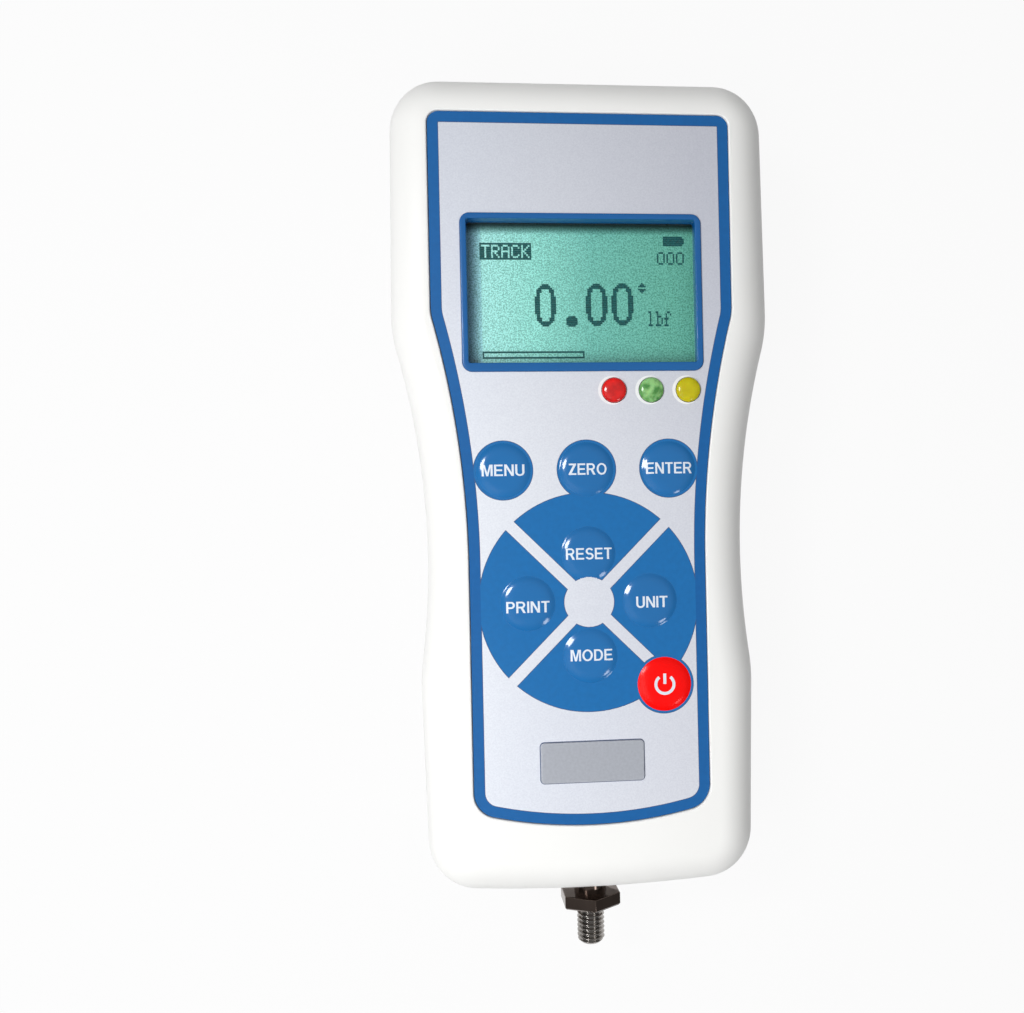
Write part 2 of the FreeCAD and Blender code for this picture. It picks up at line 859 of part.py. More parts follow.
def socket_board_y():
    return top_y - S.side_wall - S.socket_gap - S.socket_board_depth / 2


def socket_board_top():
    return main_board_under - S.socket_clearance - S.power_socket_height


def socket_board_under():
    return socket_board_top() - S.board_thickness


def data_opening():
    return block(
        "data_cutter", S.data_socket_x, top_y, socket_board_top() - S.socket_gap,
        S.data_socket_width + 2 * S.socket_gap, 2 * S.side_wall, S.data_socket_height + 2 * S.socket_gap,
    )


# Front panel
def make_front_panel():
    sheet = panel_layer("overlay_sheet", ZERO, overlay_under, S.overlay_thickness)
    tools = [frame_cutter("overlay_window", S.frame_gap, overlay_under, S.overlay_thickness)]
    tools += key_cutters(
        "overlay_key_hole", S.key_radius + S.key_gap, overlay_under, S.overlay_thickness
    )
    tools += lamp_cutters("overlay_lamp_hole", overlay_under, S.overlay_thickness)
    overlay = cut("panel_overlay", sheet, tools)
    layer = panel_layer("spacer_sheet", S.layer_inset, spacer_under, S.spacer_thickness)
    tools = [frame_cutter("spacer_window", S.frame_gap, spacer_under, S.spacer_thickness)]
    tools += key_cutters("spacer_key_hole", pocket_radius, spacer_under, S.spacer_thickness)
    tools += lamp_cutters("spacer_lamp_hole", spacer_under, S.spacer_thickness)
    spacer = cut("key_spacer", layer, tools)
    return [overlay, spacer, make_key_film(), make_snap_domes()]


def make_key_film():
    """The printed switch film with its tail, which hangs through the panel wall to a connector."""
    film = panel_layer("film_sheet", S.layer_inset, recess_floor, S.film_thickness)
    tools = [frame_cutter("film_window", S.frame_gap, recess_floor, S.film_thickness)]
    tools += lamp_cutters("film_lamp_hole", recess_floor, S.film_thickness)
    flat = cut("film_flat", film, tools)
    low = main_board_height + S.connector_wall
    tail = block(
        "film_tail", ZERO, tail_y, low, S.tail_width, S.film_thickness,
        recess_floor - low + S.film_thickness,
    )
    return fuse("key_film", [flat, tail])


def make_snap_domes():
    """One low spring dome under each key, which the key just reaches when it is pressed."""
    height = S.spacer_thickness - S.key_flange - S.key_travel
    domes = []
    for name, x, y in KEYS:
        dome = doc.addObject("Part::Cone", f"{name}_snap")
        bind(dome, Radius1=S.snap_radius, Radius2=S.snap_top_radius, Height=height)
        domes.append(place(dome, x, y, spacer_under))
    return group("snap_domes", domes)


def make_key(name, x, y):
    """A domed key that stands out of the overlay, with a flange that stops against its underside."""
    edge = S.overlay_thickness + S.key_edge
    top = edge + S.key_crown
    flange_radius = S.key_radius + S.key_gap + S.key_flange_width
    dome_radius = (S.key_radius * S.key_radius + S.key_crown * S.key_crown) / (2 * S.key_crown)
    profile = [
        (ZERO, -S.key_flange),
        (flange_radius, -S.key_flange),
        (flange_radius, ZERO),
        (S.key_radius, ZERO),
        (S.key_radius, edge),
        (ZERO, top),
    ]
    key = revolved(name, profile, {4: (dome_radius, 1)}, "XZ_Plane", "Z_Axis")
    return place(key, x, y, overlay_under)


def make_lamp(name, x):
    """A 5 mm lamp with a flange, a low dome and two leads down to the main board."""
    base = main_board_height + S.lamp_stand_off
    shoulder = panel_height + S.lamp_rise - base
    top = shoulder + S.lamp_crown
    dome_radius = (S.lamp_radius * S.lamp_radius + S.lamp_crown * S.lamp_crown) / (2 * S.lamp_crown)
    profile = [
        (ZERO, ZERO),
        (S.lamp_flange_radius, ZERO),
        (S.lamp_flange_radius, S.lamp_flange),
        (S.lamp_radius, S.lamp_flange),
        (S.lamp_radius, shoulder),
        (ZERO, top),
    ]
    bulb = revolved(f"{name}_bulb", profile, {4: (dome_radius, 1)}, "XZ_Plane", "Z_Axis")
    place(bulb, x, lamp_y, base)
    leads = [
        block(
            f"{name}_lead_{n}", x + side * S.lamp_lead_pitch / 2, lamp_y, main_board_height,
            S.lamp_lead, S.lamp_lead, S.lamp_stand_off,
        )
        for n, side in enumerate((-1, 1), start=1)
    ]
    return fuse(name, [bulb] + leads)


def make_rating_plate():
    return plate(
        "rating_plate", ZERO, plate_y, S.plate_width, S.plate_height, panel_height, S.plate_thickness,
        S.plate_corner,
    )


# Display
def display_hole(label, growth, bottom, thickness):
    """The clear opening inside the display frame."""
    width = S.display_width - 2 * S.frame_side_lip + 2 * growth
    low = display_base + S.frame_base_lip - growth
    high = display_top - S.frame_top_lip + growth
    return plate(label, ZERO, (low + high) / 2, width, high - low, bottom, thickness)


def make_display_frame():
    window_top = ceiling + S.window_thickness
    flange = frame_cutter("frame_flange", ZERO, recess_floor, panel_height + S.frame_rise - recess_floor)
    sleeve = frame_opening("frame_sleeve", ZERO, window_top, recess_floor - window_top)
    solid = fuse("frame_solid", [flange, sleeve])
    hole = display_hole("frame_hole", ZERO, window_top, body_depth)
    return cut("display_frame", solid, [hole])


def make_display_window():
    return frame_window("display_window", ceiling, S.window_thickness)


def frame_window(label, bottom, thickness):
    return frame_opening(label, ZERO, bottom, thickness)


def module_piece(label, width, height, bottom, thickness):
    """A rectangular layer of the display module, standing on the module's lower edge."""
    return plate(label, ZERO, module_base + height / 2, width, height, bottom, thickness)


def make_display_module():
    bezel_y = module_base + bezel_height / 2
    cavity_width = bezel_width - 2 * S.bezel_wall
    cavity_height = bezel_height - 2 * S.bezel_wall
    glass_width = cavity_width - 2 * S.glass_gap
    glass_height = cavity_height - 2 * S.glass_gap
    can = plate(
        "bezel_can", ZERO, bezel_y, bezel_width, bezel_height, module_board_top, ceiling - module_board_top
    )
    cavity = plate(
        "bezel_cavity", ZERO, bezel_y, cavity_width, cavity_height, module_board_top,
        glass_top - module_board_top,
    )
    opening = display_hole("bezel_opening", S.glass_gap, glass_top, S.bezel_sheet)
    bezel = cut("display_bezel", can, [cavity, opening])
    glass = plate("display_glass", ZERO, bezel_y, glass_width, glass_height, glass_under, S.glass_thickness)
    backlight = plate(
        "display_backlight", ZERO, bezel_y, glass_width, glass_height, module_board_top, S.backlight_thickness
    )
    board = module_piece(
        "display_board", module_board_width, module_board_height,
        module_board_top - S.board_thickness, S.board_thickness,
    )
    half = main_board_width / 2 - S.module_spacer_inset
    low = module_base + S.module_spacer_inset
    high = module_base + module_board_height - S.module_spacer_inset
    spacers = columns(
        "module_spacer", S.module_spacer_radius, S.module_spacer, both_sides([(half, low), (half, high)]),
        main_board_height,
    )
    return [bezel, glass, backlight, board, group("display_spacers", spacers)]


# Main board
def make_main_board():
    length = main_board_top_y - main_board_base_y
    blank = plate(
        "main_board_blank", ZERO, (main_board_top_y + main_board_base_y) / 2, main_board_width, length,
        main_board_under, S.board_thickness,
    )
    holes = columns(
        "board_hole", S.board_screw_radius, S.board_thickness, both_sides(BOARD_POSTS), main_board_under
    )
    board = cut("main_board", blank, holes)
    board_side = main_board_width / 2
    controller_x = board_side - S.controller_side_gap - S.controller_width / 2
    amplifier_x = S.amplifier_side_gap + S.amplifier_width / 2 - board_side
    buzzer_x = S.buzzer_side_gap + S.buzzer_radius - board_side
    chips = [
        block(
            "controller_chip", controller_x, module_base - S.controller_drop, main_board_height,
            S.controller_width, S.controller_width, S.chip_height,
        ),
        block(
            "amplifier_chip", amplifier_x, module_base - S.amplifier_drop, main_board_height,
            S.amplifier_width, S.amplifier_width, S.chip_height,
        ),
    ]
    buzzer = cylinder(
        "buzzer", S.buzzer_radius, S.buzzer_height, buzzer_x, tail_y + S.buzzer_lift, main_board_height,
    )
    return [board, group("board_chips", chips), buzzer, make_connector(), make_board_screws()]


def make_connector():
    """The socket on the main board that takes the switch film's tail."""
    width = S.tail_width + 2 * S.connector_wall
    body = block(
        "connector_body", ZERO, tail_y, main_board_height, width, S.connector_depth, S.connector_height
    )
    slot = block(
        "connector_slot", ZERO, tail_y, main_board_height + S.connector_wall, S.tail_width, S.film_thickness,
        S.connector_height,
    )
    return cut("film_connector", body, [slot])


def screw(label, shank_radius, shank, head_radius, head, x, y, z, points_up=True):
    """A pan-head screw whose head meets its shank at the height z."""
    if points_up:
        low_shank, low_head = z, z - head
    else:
        low_shank, low_head = z - shank, z
    return fuse(
        label,
        [
            cylinder(f"{label}_shank", shank_radius, shank, x, y, low_shank),
            cylinder(f"{label}_head", head_radius, head, x, y, low_head),
        ],
    )


def make_board_screws():
    screws = [
        screw(
            f"board_screw_{n}", S.board_screw_radius, S.board_screw_length, S.board_screw_head_radius,
            S.board_screw_head, x, y, main_board_under,
        )
        for n, (x, y) in enumerate(both_sides(BOARD_POSTS), start=1)
    ]
    return group("board_screws", screws)


def make_case_screws():
    shank = split_height + S.case_screw_bite - S.case_screw_recess
    screws = [
        screw(
            f"case_screw_{n}", S.case_screw_radius, shank, S.case_screw_head_radius, S.case_screw_head,
            x, y, S.case_screw_recess,
        )
        for n, (x, y) in enumerate(both_sides(CASE_POSTS), start=1)
    ]
    return group("case_screws", screws)


# Force path
def make_shaft():
    """The measuring shaft: threaded stud, hexagon, neck and the spigot in the load cell."""
    stud_tip = hex_top_y - S.hex_thickness - S.stud_length
    shoulder = cell_base_y - S.shoulder_gap
    end = cell_base_y + S.spigot_length
    hex_base = hex_top_y - S.hex_thickness
    profile = [
        (ZERO, stud_tip),
        (S.stud_radius - S.stud_chamfer, stud_tip),
        (S.stud_radius, stud_tip + S.stud_chamfer),
        (S.stud_radius, hex_base),
        (S.neck_radius, hex_base),
        (S.neck_radius, shoulder),
        (S.spigot_radius, shoulder),
        (S.spigot_radius, end),
        (ZERO, end),
    ]
    turned = place(revolved("shaft_turned", profile, None, "XY_Plane", "Y_Axis"), ZERO, ZERO, shaft_height)
    hexagon = doc.addObject("Part::Prism", "shaft_hexagon")
    hexagon.Polygon = 6
    bind(hexagon, Circumradius=S.hex_across_flats / math.sqrt(3), Height=S.hex_thickness)
    turn = FreeCAD.Rotation(FreeCAD.Vector(0, 0, 1), DRIVING_SIZES["hex_turn"])
    place(hexagon, ZERO, hex_base, shaft_height, ALONG_Y.multiply(turn))
    return fuse("measuring_shaft", [turned, hexagon])


def make_guard_ring():
    """The ring clamped between the casing halves that keeps dirt off the shaft."""
    bore = S.neck_radius + S.ring_clearance
    outer = base_y + S.ring_recess
    inner = base_y + S.side_wall
    profile = [
        (bore, outer),
        (ring_radius, outer),
        (ring_radius, inner),
        (ring_flange_radius, inner),
        (ring_flange_radius, inner + S.ring_flange),
        (bore, inner + S.ring_flange),
    ]
    return place(revolved("guard_ring", profile, None, "XY_Plane", "Y_Axis"), ZERO, ZERO, shaft_height)


def make_load_cell():
    """An S-shaped beam: two slots from opposite sides and a two-lobed window between them."""
    centre_y = (cell_base_y + cell_top_y) / 2
    bottom = shaft_height - S.cell_thickness / 2
    beam = plate("cell_beam", ZERO, centre_y, S.cell_width, cell_length, bottom, S.cell_thickness)
    slot_width = S.cell_width - S.cell_slot_web
    low_slot_y = cell_base_y + S.cell_arm + S.cell_slot / 2
    high_slot_y = cell_top_y - S.cell_arm - S.cell_slot / 2
    tools = [
        block(
            "low_slot", -S.cell_slot_web / 2, low_slot_y, bottom, slot_width, S.cell_slot,
            S.cell_thickness,
        ),
        block(
            "high_slot", S.cell_slot_web / 2, high_slot_y, bottom, slot_width, S.cell_slot,
            S.cell_thickness,
        ),
        block(
            "lobe_link", ZERO, centre_y, bottom, S.cell_lobe_pitch, S.cell_lobe_radius, S.cell_thickness
        ),
        cylinder(
            "spigot_bore", S.spigot_radius + S.spigot_clearance, S.spigot_length + 2 * S.shaft_travel,
            ZERO, cell_base_y, shaft_height, ALONG_Y,
        ),
    ]
    lobes = [(S.cell_lobe_pitch / 2, centre_y), (-S.cell_lobe_pitch / 2, centre_y)]
    tools += columns("cell_lobe", S.cell_lobe_radius, S.cell_thickness, lobes, bottom)
    tools += [
        cylinder(
            f"cell_thread_{n}", S.anchor_screw_radius, S.anchor_screw_depth, x,
            cell_top_y - S.anchor_screw_depth, shaft_height, ALONG_Y,
        )
        for n, x in enumerate(anchor_screw_xs(), start=1)
    ]
    return [cut("load_cell", beam, tools), make_strain_gauges(centre_y)]


def make_strain_gauges(centre_y):
    reach = S.cell_lobe_radius + S.cell_web
    pads = []
    for n, (side_x, side_y) in enumerate(((-1, -1), (1, -1), (-1, 1), (1, 1)), start=1):
        y = centre_y + side_y * (reach + S.gauge_thickness / 2)
        pads.append(
            block(
                f"gauge_{n}", side_x * S.cell_lobe_pitch / 2, y, shaft_height - S.gauge_width / 2,
                S.gauge_length, S.gauge_thickness, S.gauge_width,
            )
        )
    return group("strain_gauges", pads)


def anchor_screw_xs():
    return [S.anchor_screw_pitch / 2, -S.anchor_screw_pitch / 2]


def make_chassis():
    """The metal base that holds the load cell by its upright wall and takes the rear mounting bushes."""
    base = plate(
        "chassis_base", ZERO, (chassis_top_y + chassis_base_y) / 2, chassis_width,
        chassis_top_y - chassis_base_y, S.back_wall, S.chassis_thickness,
    )
    wall = block(
        "chassis_wall", ZERO, cell_top_y + S.anchor_thickness / 2, S.back_wall, S.cell_width,
        S.anchor_thickness, shaft_height + S.cell_thickness / 2 - S.back_wall,
    )
    tools = columns(
        "chassis_post_hole", S.chassis_post_radius, S.chassis_thickness, both_sides(CHASSIS_POSTS),
        S.back_wall,
    )
    tools += columns(
        "chassis_bush_hole", S.mount_bush_radius, S.chassis_thickness, both_sides(MOUNT_BUSHES), S.back_wall
    )
    tools += [
        cylinder(
            f"anchor_hole_{n}", S.anchor_screw_radius, S.anchor_thickness, x, cell_top_y, shaft_height,
            ALONG_Y,
        )
        for n, x in enumerate(anchor_screw_xs(), start=1)
    ]
    chassis = cut("chassis", fuse("chassis_solid", [base, wall]), tools)
    return [chassis, make_anchor_screws(), make_chassis_screws(), make_mounting_bushes()]


def make_anchor_screws():
    screws = []
    for n, x in enumerate(anchor_screw_xs(), start=1):
        length = S.anchor_thickness + S.anchor_screw_depth
        shank = cylinder(
            f"anchor_shank_{n}", S.anchor_screw_radius, length, x, anchor_top_y - length, shaft_height,
            ALONG_Y,
        )
        head = cylinder(
            f"anchor_head_{n}", S.anchor_screw_head_radius, S.anchor_screw_head, x, anchor_top_y,
            shaft_height, ALONG_Y,
        )
        screws.append(fuse(f"anchor_screw_{n}", [shank, head]))
    return group("load_cell_screws", screws)


def make_chassis_screws():
    screws = [
        screw(
            f"chassis_screw_{n}", S.chassis_screw_radius, S.chassis_screw_depth, S.chassis_screw_head_radius,
            S.chassis_screw_head, x, y, chassis_top, points_up=False,
        )
        for n, (x, y) in enumerate(both_sides(CHASSIS_POSTS), start=1)
    ]
    return group("chassis_screws", screws)


def make_mounting_bushes():
    bushes = []
    for n, (x, y) in enumerate(both_sides(MOUNT_BUSHES), start=1):
        outside = cylinder(f"bush_body_{n}", S.mount_bush_radius, chassis_top, x, y, ZERO)
        bore = cylinder(f"bush_bore_{n}", S.mount_hole_radius, chassis_top, x, y, ZERO)
        bushes.append(cut(f"mounting_bush_{n}", outside, [bore]))
    return group("mounting_bushes", bushes)


# Power and sockets
def make_battery():
    """Cells side by side across the tray, each with its tip at the right."""
    pitch = 2 * S.battery_radius + S.battery_gap
    inner_width = S.battery_length + S.battery_tip + 2 * S.tray_gap
    inner_depth = BATTERY_CELLS * pitch + 2 * S.tray_gap
    outer_width = inner_width + 2 * S.tray_wall
    outer_depth = inner_depth + 2 * S.tray_wall
    y = chassis_top_y + S.tray_end_gap + outer_depth / 2
    floor_top = S.back_wall + S.tray_floor
    outside = block("tray_outside", ZERO, y, S.back_wall, outer_width, outer_depth, S.tray_height)
    inside = block("tray_inside", ZERO, y, floor_top, inner_width, inner_depth, S.tray_height)
    tray = cut("battery_tray", outside, [inside])
    start_x = S.tray_gap - inner_width / 2
    axis_z = floor_top + S.battery_radius
    cells = []
    for n in range(BATTERY_CELLS):
        cell_y = y + (n - (BATTERY_CELLS - 1) / 2) * pitch
        can = cylinder(f"cell_can_{n}", S.battery_radius, S.battery_length, start_x, cell_y, axis_z, ALONG_X)
        tip = cylinder(
            f"cell_tip_{n}", S.battery_tip_radius, S.battery_tip, start_x + S.battery_length, cell_y, axis_z,
            ALONG_X,
        )
        cells.append(fuse(f"battery_cell_{n}", [can, tip]))
    return [tray, group("battery_cells", cells), make_battery_strap(y, outer_depth)]


def make_battery_strap(y, depth):
    """A steel band over the cells, with feet beside the tray that stand on the back wall."""
    height = battery_top + S.strap_sheet - S.back_wall
    outside = block(
        "strap_outside", ZERO, y, S.back_wall, S.strap_width, depth + 2 * S.strap_sheet, height
    )
    inside = block("strap_inside", ZERO, y, S.back_wall, S.strap_width, depth, height - S.strap_sheet)
    return cut("battery_strap", outside, [inside])


def make_sockets():
    board = plate(
        "socket_board_blank", ZERO, socket_board_y(), S.socket_board_width, S.socket_board_depth,
        socket_board_under(), S.board_thickness,
    )
    holes = columns(
        "socket_hole", S.board_screw_radius, S.board_thickness, socket_places(), socket_board_under()
    )
    screws = [
        screw(
            f"socket_screw_{n}", S.board_screw_radius, S.board_screw_length, S.board_screw_head_radius,
            S.board_screw_head, x, y, socket_board_top(), points_up=False,
        )
        for n, (x, y) in enumerate(socket_places(), start=1)
    ]
    return [
        cut("socket_board", board, holes),
        group("socket_board_screws", screws),
        make_power_socket(),
        make_data_socket(),
    ]


def make_power_socket():
    face = top_y - S.socket_recess
    y = face - S.power_socket_depth / 2
    bottom = socket_board_top()
    axis_z = bottom + S.power_socket_height / 2
    housing = block(
        "power_housing", S.power_socket_x, y, bottom, S.power_socket_width, S.power_socket_depth,
        S.power_socket_height,
    )
    start = face - S.power_bore_depth
    bore = cylinder(
        "power_bore", S.power_bore_radius, S.power_bore_depth, S.power_socket_x, start, axis_z, ALONG_Y
    )
    pin = cylinder(
        "power_pin", S.power_pin_radius, S.power_bore_depth - S.power_pin_drop, S.power_socket_x, start,
        axis_z, ALONG_Y,
    )
    return fuse("power_socket", [cut("power_shell", housing, [bore]), pin])


def make_data_socket():
    face = top_y - S.socket_recess
    y = face - S.data_socket_depth / 2
    bottom = socket_board_top()
    housing = block(
        "data_housing", S.data_socket_x, y, bottom, S.data_socket_width, S.data_socket_depth,
        S.data_socket_height,
    )
    inner_width = S.data_socket_width - 2 * S.data_socket_sheet
    inner_height = S.data_socket_height - 2 * S.data_socket_sheet
    hollow = block(
        "data_hollow", S.data_socket_x, y + S.data_socket_back, bottom + S.data_socket_sheet, inner_width,
        S.data_socket_depth, inner_height,
    )
    tongue = block(
        "data_tongue", S.data_socket_x, y - S.data_tongue_inset / 2,
        bottom + (S.data_socket_height - S.data_tongue_height) / 2, inner_width - 2 * S.data_tongue_inset,
        S.data_socket_depth - S.data_tongue_inset, S.data_tongue_height,
    )
    return fuse("data_socket", [cut("data_shell", housing, [hollow]), tongue])


def failed(item):
    return any(word in state for state in item.State for word in ("Invalid", "Error"))


def build():
    walls = make_hollow_casing()
    parts = [make_front_shell(walls), make_rear_shell(walls)]
    parts += make_front_panel()
    parts += [make_key(name, x, y) for name, x, y in KEYS]
    parts += [make_lamp(name, x) for name, x in LAMPS]
    parts += [make_rating_plate(), make_display_frame(), make_display_window()]
    parts += make_display_module()
    parts += make_main_board()
    parts += [make_case_screws(), make_shaft(), make_guard_ring()]
    parts += make_load_cell()
    parts += make_chassis()
    parts += make_battery()
    parts += make_sockets()
    doc.recompute()
    return parts


def check(parts):
    """Stops if any object failed or any sub-part is empty or broken."""
    broken = [item.Name for item in doc.Objects if failed(item)]
    broken += [part.Label for part in parts if part.Shape.isNull() or not part.Shape.isValid()]
    broken += [part.Label for part in parts if not part.Shape.Solids]
    if broken:
        raise RuntimeError(f"these failed to build: {broken}")


def export(parts):
    os.makedirs("parts", exist_ok=True)
    for part in parts:
        part.Shape.exportStep(f"parts/{part.Label}.step")


parts = build()
check(parts)
export(parts)
for part in parts:
    print(f"{part.Label}: {len(part.Shape.Solids)} solid(s), {part.Shape.Volume:.1f} mm3")
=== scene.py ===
import json
import math
import re

import bmesh
import bpy
from mathutils import Matrix, Vector
from mathutils.geometry import delaunay_2d_cdt


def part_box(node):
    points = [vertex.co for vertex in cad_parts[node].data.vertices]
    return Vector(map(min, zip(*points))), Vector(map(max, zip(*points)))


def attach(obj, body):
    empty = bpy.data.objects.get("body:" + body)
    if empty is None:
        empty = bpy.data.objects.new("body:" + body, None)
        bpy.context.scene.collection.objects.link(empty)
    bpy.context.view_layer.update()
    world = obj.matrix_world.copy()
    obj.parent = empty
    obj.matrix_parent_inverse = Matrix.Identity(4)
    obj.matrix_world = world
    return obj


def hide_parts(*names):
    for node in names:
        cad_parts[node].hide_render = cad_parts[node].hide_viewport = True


# Hand-held digital force gauge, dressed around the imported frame.
# Shapes are written in millimetres and scaled to metres when a mesh is made.

MM = 0.001
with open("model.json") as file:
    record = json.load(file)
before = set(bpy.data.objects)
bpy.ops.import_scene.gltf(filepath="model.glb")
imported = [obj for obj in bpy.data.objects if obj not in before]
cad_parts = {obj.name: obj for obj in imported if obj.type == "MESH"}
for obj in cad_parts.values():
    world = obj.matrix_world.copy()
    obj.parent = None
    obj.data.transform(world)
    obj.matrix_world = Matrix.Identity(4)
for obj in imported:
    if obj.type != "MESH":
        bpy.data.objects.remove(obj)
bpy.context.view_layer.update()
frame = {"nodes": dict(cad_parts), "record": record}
nodes = frame["nodes"]


def box_mm(node):
    """Lowest and highest corner of a CAD node, in millimetres."""
    low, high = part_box(node)
    return low / MM, high / MM


def middle(node):
    low, high = box_mm(node)
    return (low + high) / 2


# Sizes read from the frame
shell_low, shell_high = box_mm("front_shell")
overlay_low, overlay_high = box_mm("panel_overlay")
frame_low, frame_high = box_mm("display_frame")
shoulder_half = shell_high.x
top_y = shell_high.y
base_y = shell_low.y
body_depth = shell_high.z
split = shell_low.z
panel_top_z = overlay_high.z
panel_top_y = overlay_high.y
panel_base_y = overlay_low.y
panel_head = overlay_high.x

# Casing outline, as the part has it
WAIST_HALF = 32.9
FOOT_HALF = 34.8
TOP_HALF = 38.8
BASE_HALF = 33.7
WAIST_Y = -14.0
WAIST_RADIUS = 162.9
BASE_BOW = 330.0
CORNER_RADIUS = 10.5
SHOULDER_RADIUS = 30.0
FOOT_RADIUS = 38.0
FRONT_EDGE = 8.0
BACK_EDGE = 5.0
SIDE_WALL = 2.5
BACK_WALL = 2.5
CEILING = 32.7
RECESS_FLOOR = 34.3
PARTING = 0.25

# Front panel outline
PANEL_WAIST = 23.9
BEND_Y = -16.0
BEND_RADIUS = 197.3
PANEL_BOW = 87.6
PANEL_TOP_CORNER = 2.3
PANEL_BASE_CORNER = 5.0
KINK_RADIUS = 10.0
PANEL_GAP = 0.15
RECESS_EDGE = 0.35
BORDER = 2.2
PRINT_LINE = 0.12
PLATE_CORNER = 0.8
PLATE_LINE = 0.16
FRAME_CORNER = 2.0
FRAME_GAP = 0.05

# Printed pad
PAD = Vector((0.0, -24.0))
PAD_RADIUS = 22.3
PAD_CENTRE = 5.04
BAND_WIDTH = 2.3
BAND_TURNS = (45, 135)
DISC_RADIUS = 6.05
KEY_RADIUS = 5.5
KEY_HOLE = 5.505
LAMP_RADIUS = 2.5
LAMP_HOLE = 2.62
# A white ring printed round each lamp and shifted to the left, so that a crescent shows at the lamp's left as
# a painted highlight
LAMP_RING = 2.94
LAMP_RING_SHIFT = -0.36

KEYS = ["menu_key", "zero_key", "enter_key", "reset_key", "print_key", "unit_key", "mode_key", "power_key"]
DISC_KEYS = ["menu_key", "zero_key", "enter_key", "power_key"]
LAMP_COLOURS = ["red", "green", "yellow"]
LAMPS = [f"{colour}_lamp" for colour in LAMP_COLOURS]

ARC_STEPS = 16
EDGE_STEPS = 24
CIRCLE_STEPS = 96
PAD_STEPS = 160
SMALL_STEPS = 64
TURNED_STEPS = 48
FRONT_EDGE_STEPS = 16
BACK_EDGE_STEPS = 12

# How near two points count as one: in an outline and in cut regions, in millimetres,
# and in a finished mesh, in metres
SAME_POINT = 1e-4
SAME_CUT = 1e-5
SAME_VERTEX = 1e-7
NO_EDGE = 1e-8

# Edges sharper than this many degrees stay crisp
CREASE = 32.0
KEY_CREASE = 50.0
LAMP_CREASE = 40.0
STUD_CREASE = 60.0
HEX_CREASE = 20.0


# Outlines
def turn_between(first, last):
    return math.atan2(first.x * last.y - first.y * last.x, first.dot(last))


class Side:
    """One side of an outline: a line, or an arc with its centre inside (1) or outside (-1)."""

    def __init__(self, start, end, radius=0.0, bulge=0):
        self.start = Vector(start)
        self.end = Vector(end)
        self.radius = radius
        self.bulge = bulge
        self.centre = None
        if radius:
            chord = self.end - self.start
            normal = Vector((-chord.y, chord.x)).normalized()
            reach = math.sqrt(radius**2 - chord.length_squared / 4)
            self.centre = (self.start + self.end) / 2 + normal * (bulge * reach)

    def direction(self):
        return (self.end - self.start).normalized()

    def outward(self, point):
        if self.centre is None:
            along = self.direction()
            return Vector((along.y, -along.x))
        return (point - self.centre).normalized() * self.bulge

    def nearest(self, point):
        if self.centre is None:
            along = self.direction()
            return self.start + along * (point - self.start).dot(along)
        return self.centre + (point - self.centre).normalized() * self.radius

    def at(self, share):
        if self.centre is None:
            return self.start.lerp(self.end, share)
        first = self.start - self.centre
        last = self.end - self.centre
        return self.centre + Matrix.Rotation(turn_between(first, last) * share, 2) @ first


def line_meets_line(point, along, other, other_along):
    cross = along.x * other_along.y - along.y * other_along.x
    gap = other - point
    return point + along * ((gap.x * other_along.y - gap.y * other_along.x) / cross)


def line_meets_circle(point, along, centre, radius, near):
    foot = point + along * (centre - point).dot(along)
    reach = math.sqrt(max(radius**2 - (foot - centre).length_squared, 0.0))
    return min((foot + along * reach, foot - along * reach), key=lambda p: (p - near).length)


def fillet_centre(before, after, radius):
    """The centre of an arc of that radius that touches both sides from the inside."""
    near = before.end
    places = []
    for side in (before, after):
        if side.centre is None:
            inward = -side.outward(side.start)
            places.append((side.start + inward * radius, side.direction()))
        else:
            places.append((side.centre, side.radius - side.bulge * radius))
    (first, first_value), (second, second_value) = places
    if before.centre is None and after.centre is None:
        return line_meets_line(first, first_value, second, second_value)
    if before.centre is None:
        return line_meets_circle(first, first_value, second, second_value, near)
    return line_meets_circle(second, second_value, first, first_value, near)


def rounded_outline(corners, arcs, radii):
    """Points and outward normals round a closed outline whose corners are rounded."""
    count = len(corners)
    sides = []
    for i in range(count):
        radius, bulge = arcs.get(i, (0.0, 0))
        sides.append(Side(corners[i], corners[(i + 1) % count], radius, bulge))
    centres = {i: fillet_centre(sides[i - 1], sides[i], radius) for i, radius in radii.items()}
    for i, centre in centres.items():
        sides[i - 1].end = sides[i - 1].nearest(centre)
        sides[i].start = sides[i].nearest(centre)
    samples = []
    for i, side in enumerate(sides):
        if i in centres:
            first = sides[i - 1].end - centres[i]
            turn = turn_between(first, side.start - centres[i])
            for n in range(ARC_STEPS):
                arm = Matrix.Rotation(turn * n / ARC_STEPS, 2) @ first
                samples.append((centres[i] + arm, arm.normalized()))
        else:
            samples += [(side.start.copy(), side.outward(side.start))] * ARC_STEPS
        for n in range(EDGE_STEPS):
            point = side.at(n / EDGE_STEPS)
            samples.append((point, side.outward(point)))
    return samples


def flare_reach(radius, flare):
    return math.sqrt(2 * radius * flare - flare**2)


def waisted_outline(right, bow_radius, waist_radius, fillets):
    """A symmetric outline from the corners of its right half, bowed below and hollow at the waist."""
    left = [(-x, y) for x, y in reversed(right)]
    arcs = {0: (bow_radius, 1), 2: (waist_radius, -1), 6: (waist_radius, -1)}
    radii = {n: radius for radius, numbers in fillets for n in numbers}
    return rounded_outline([left[-1]] + right + left[:-1], arcs, radii)


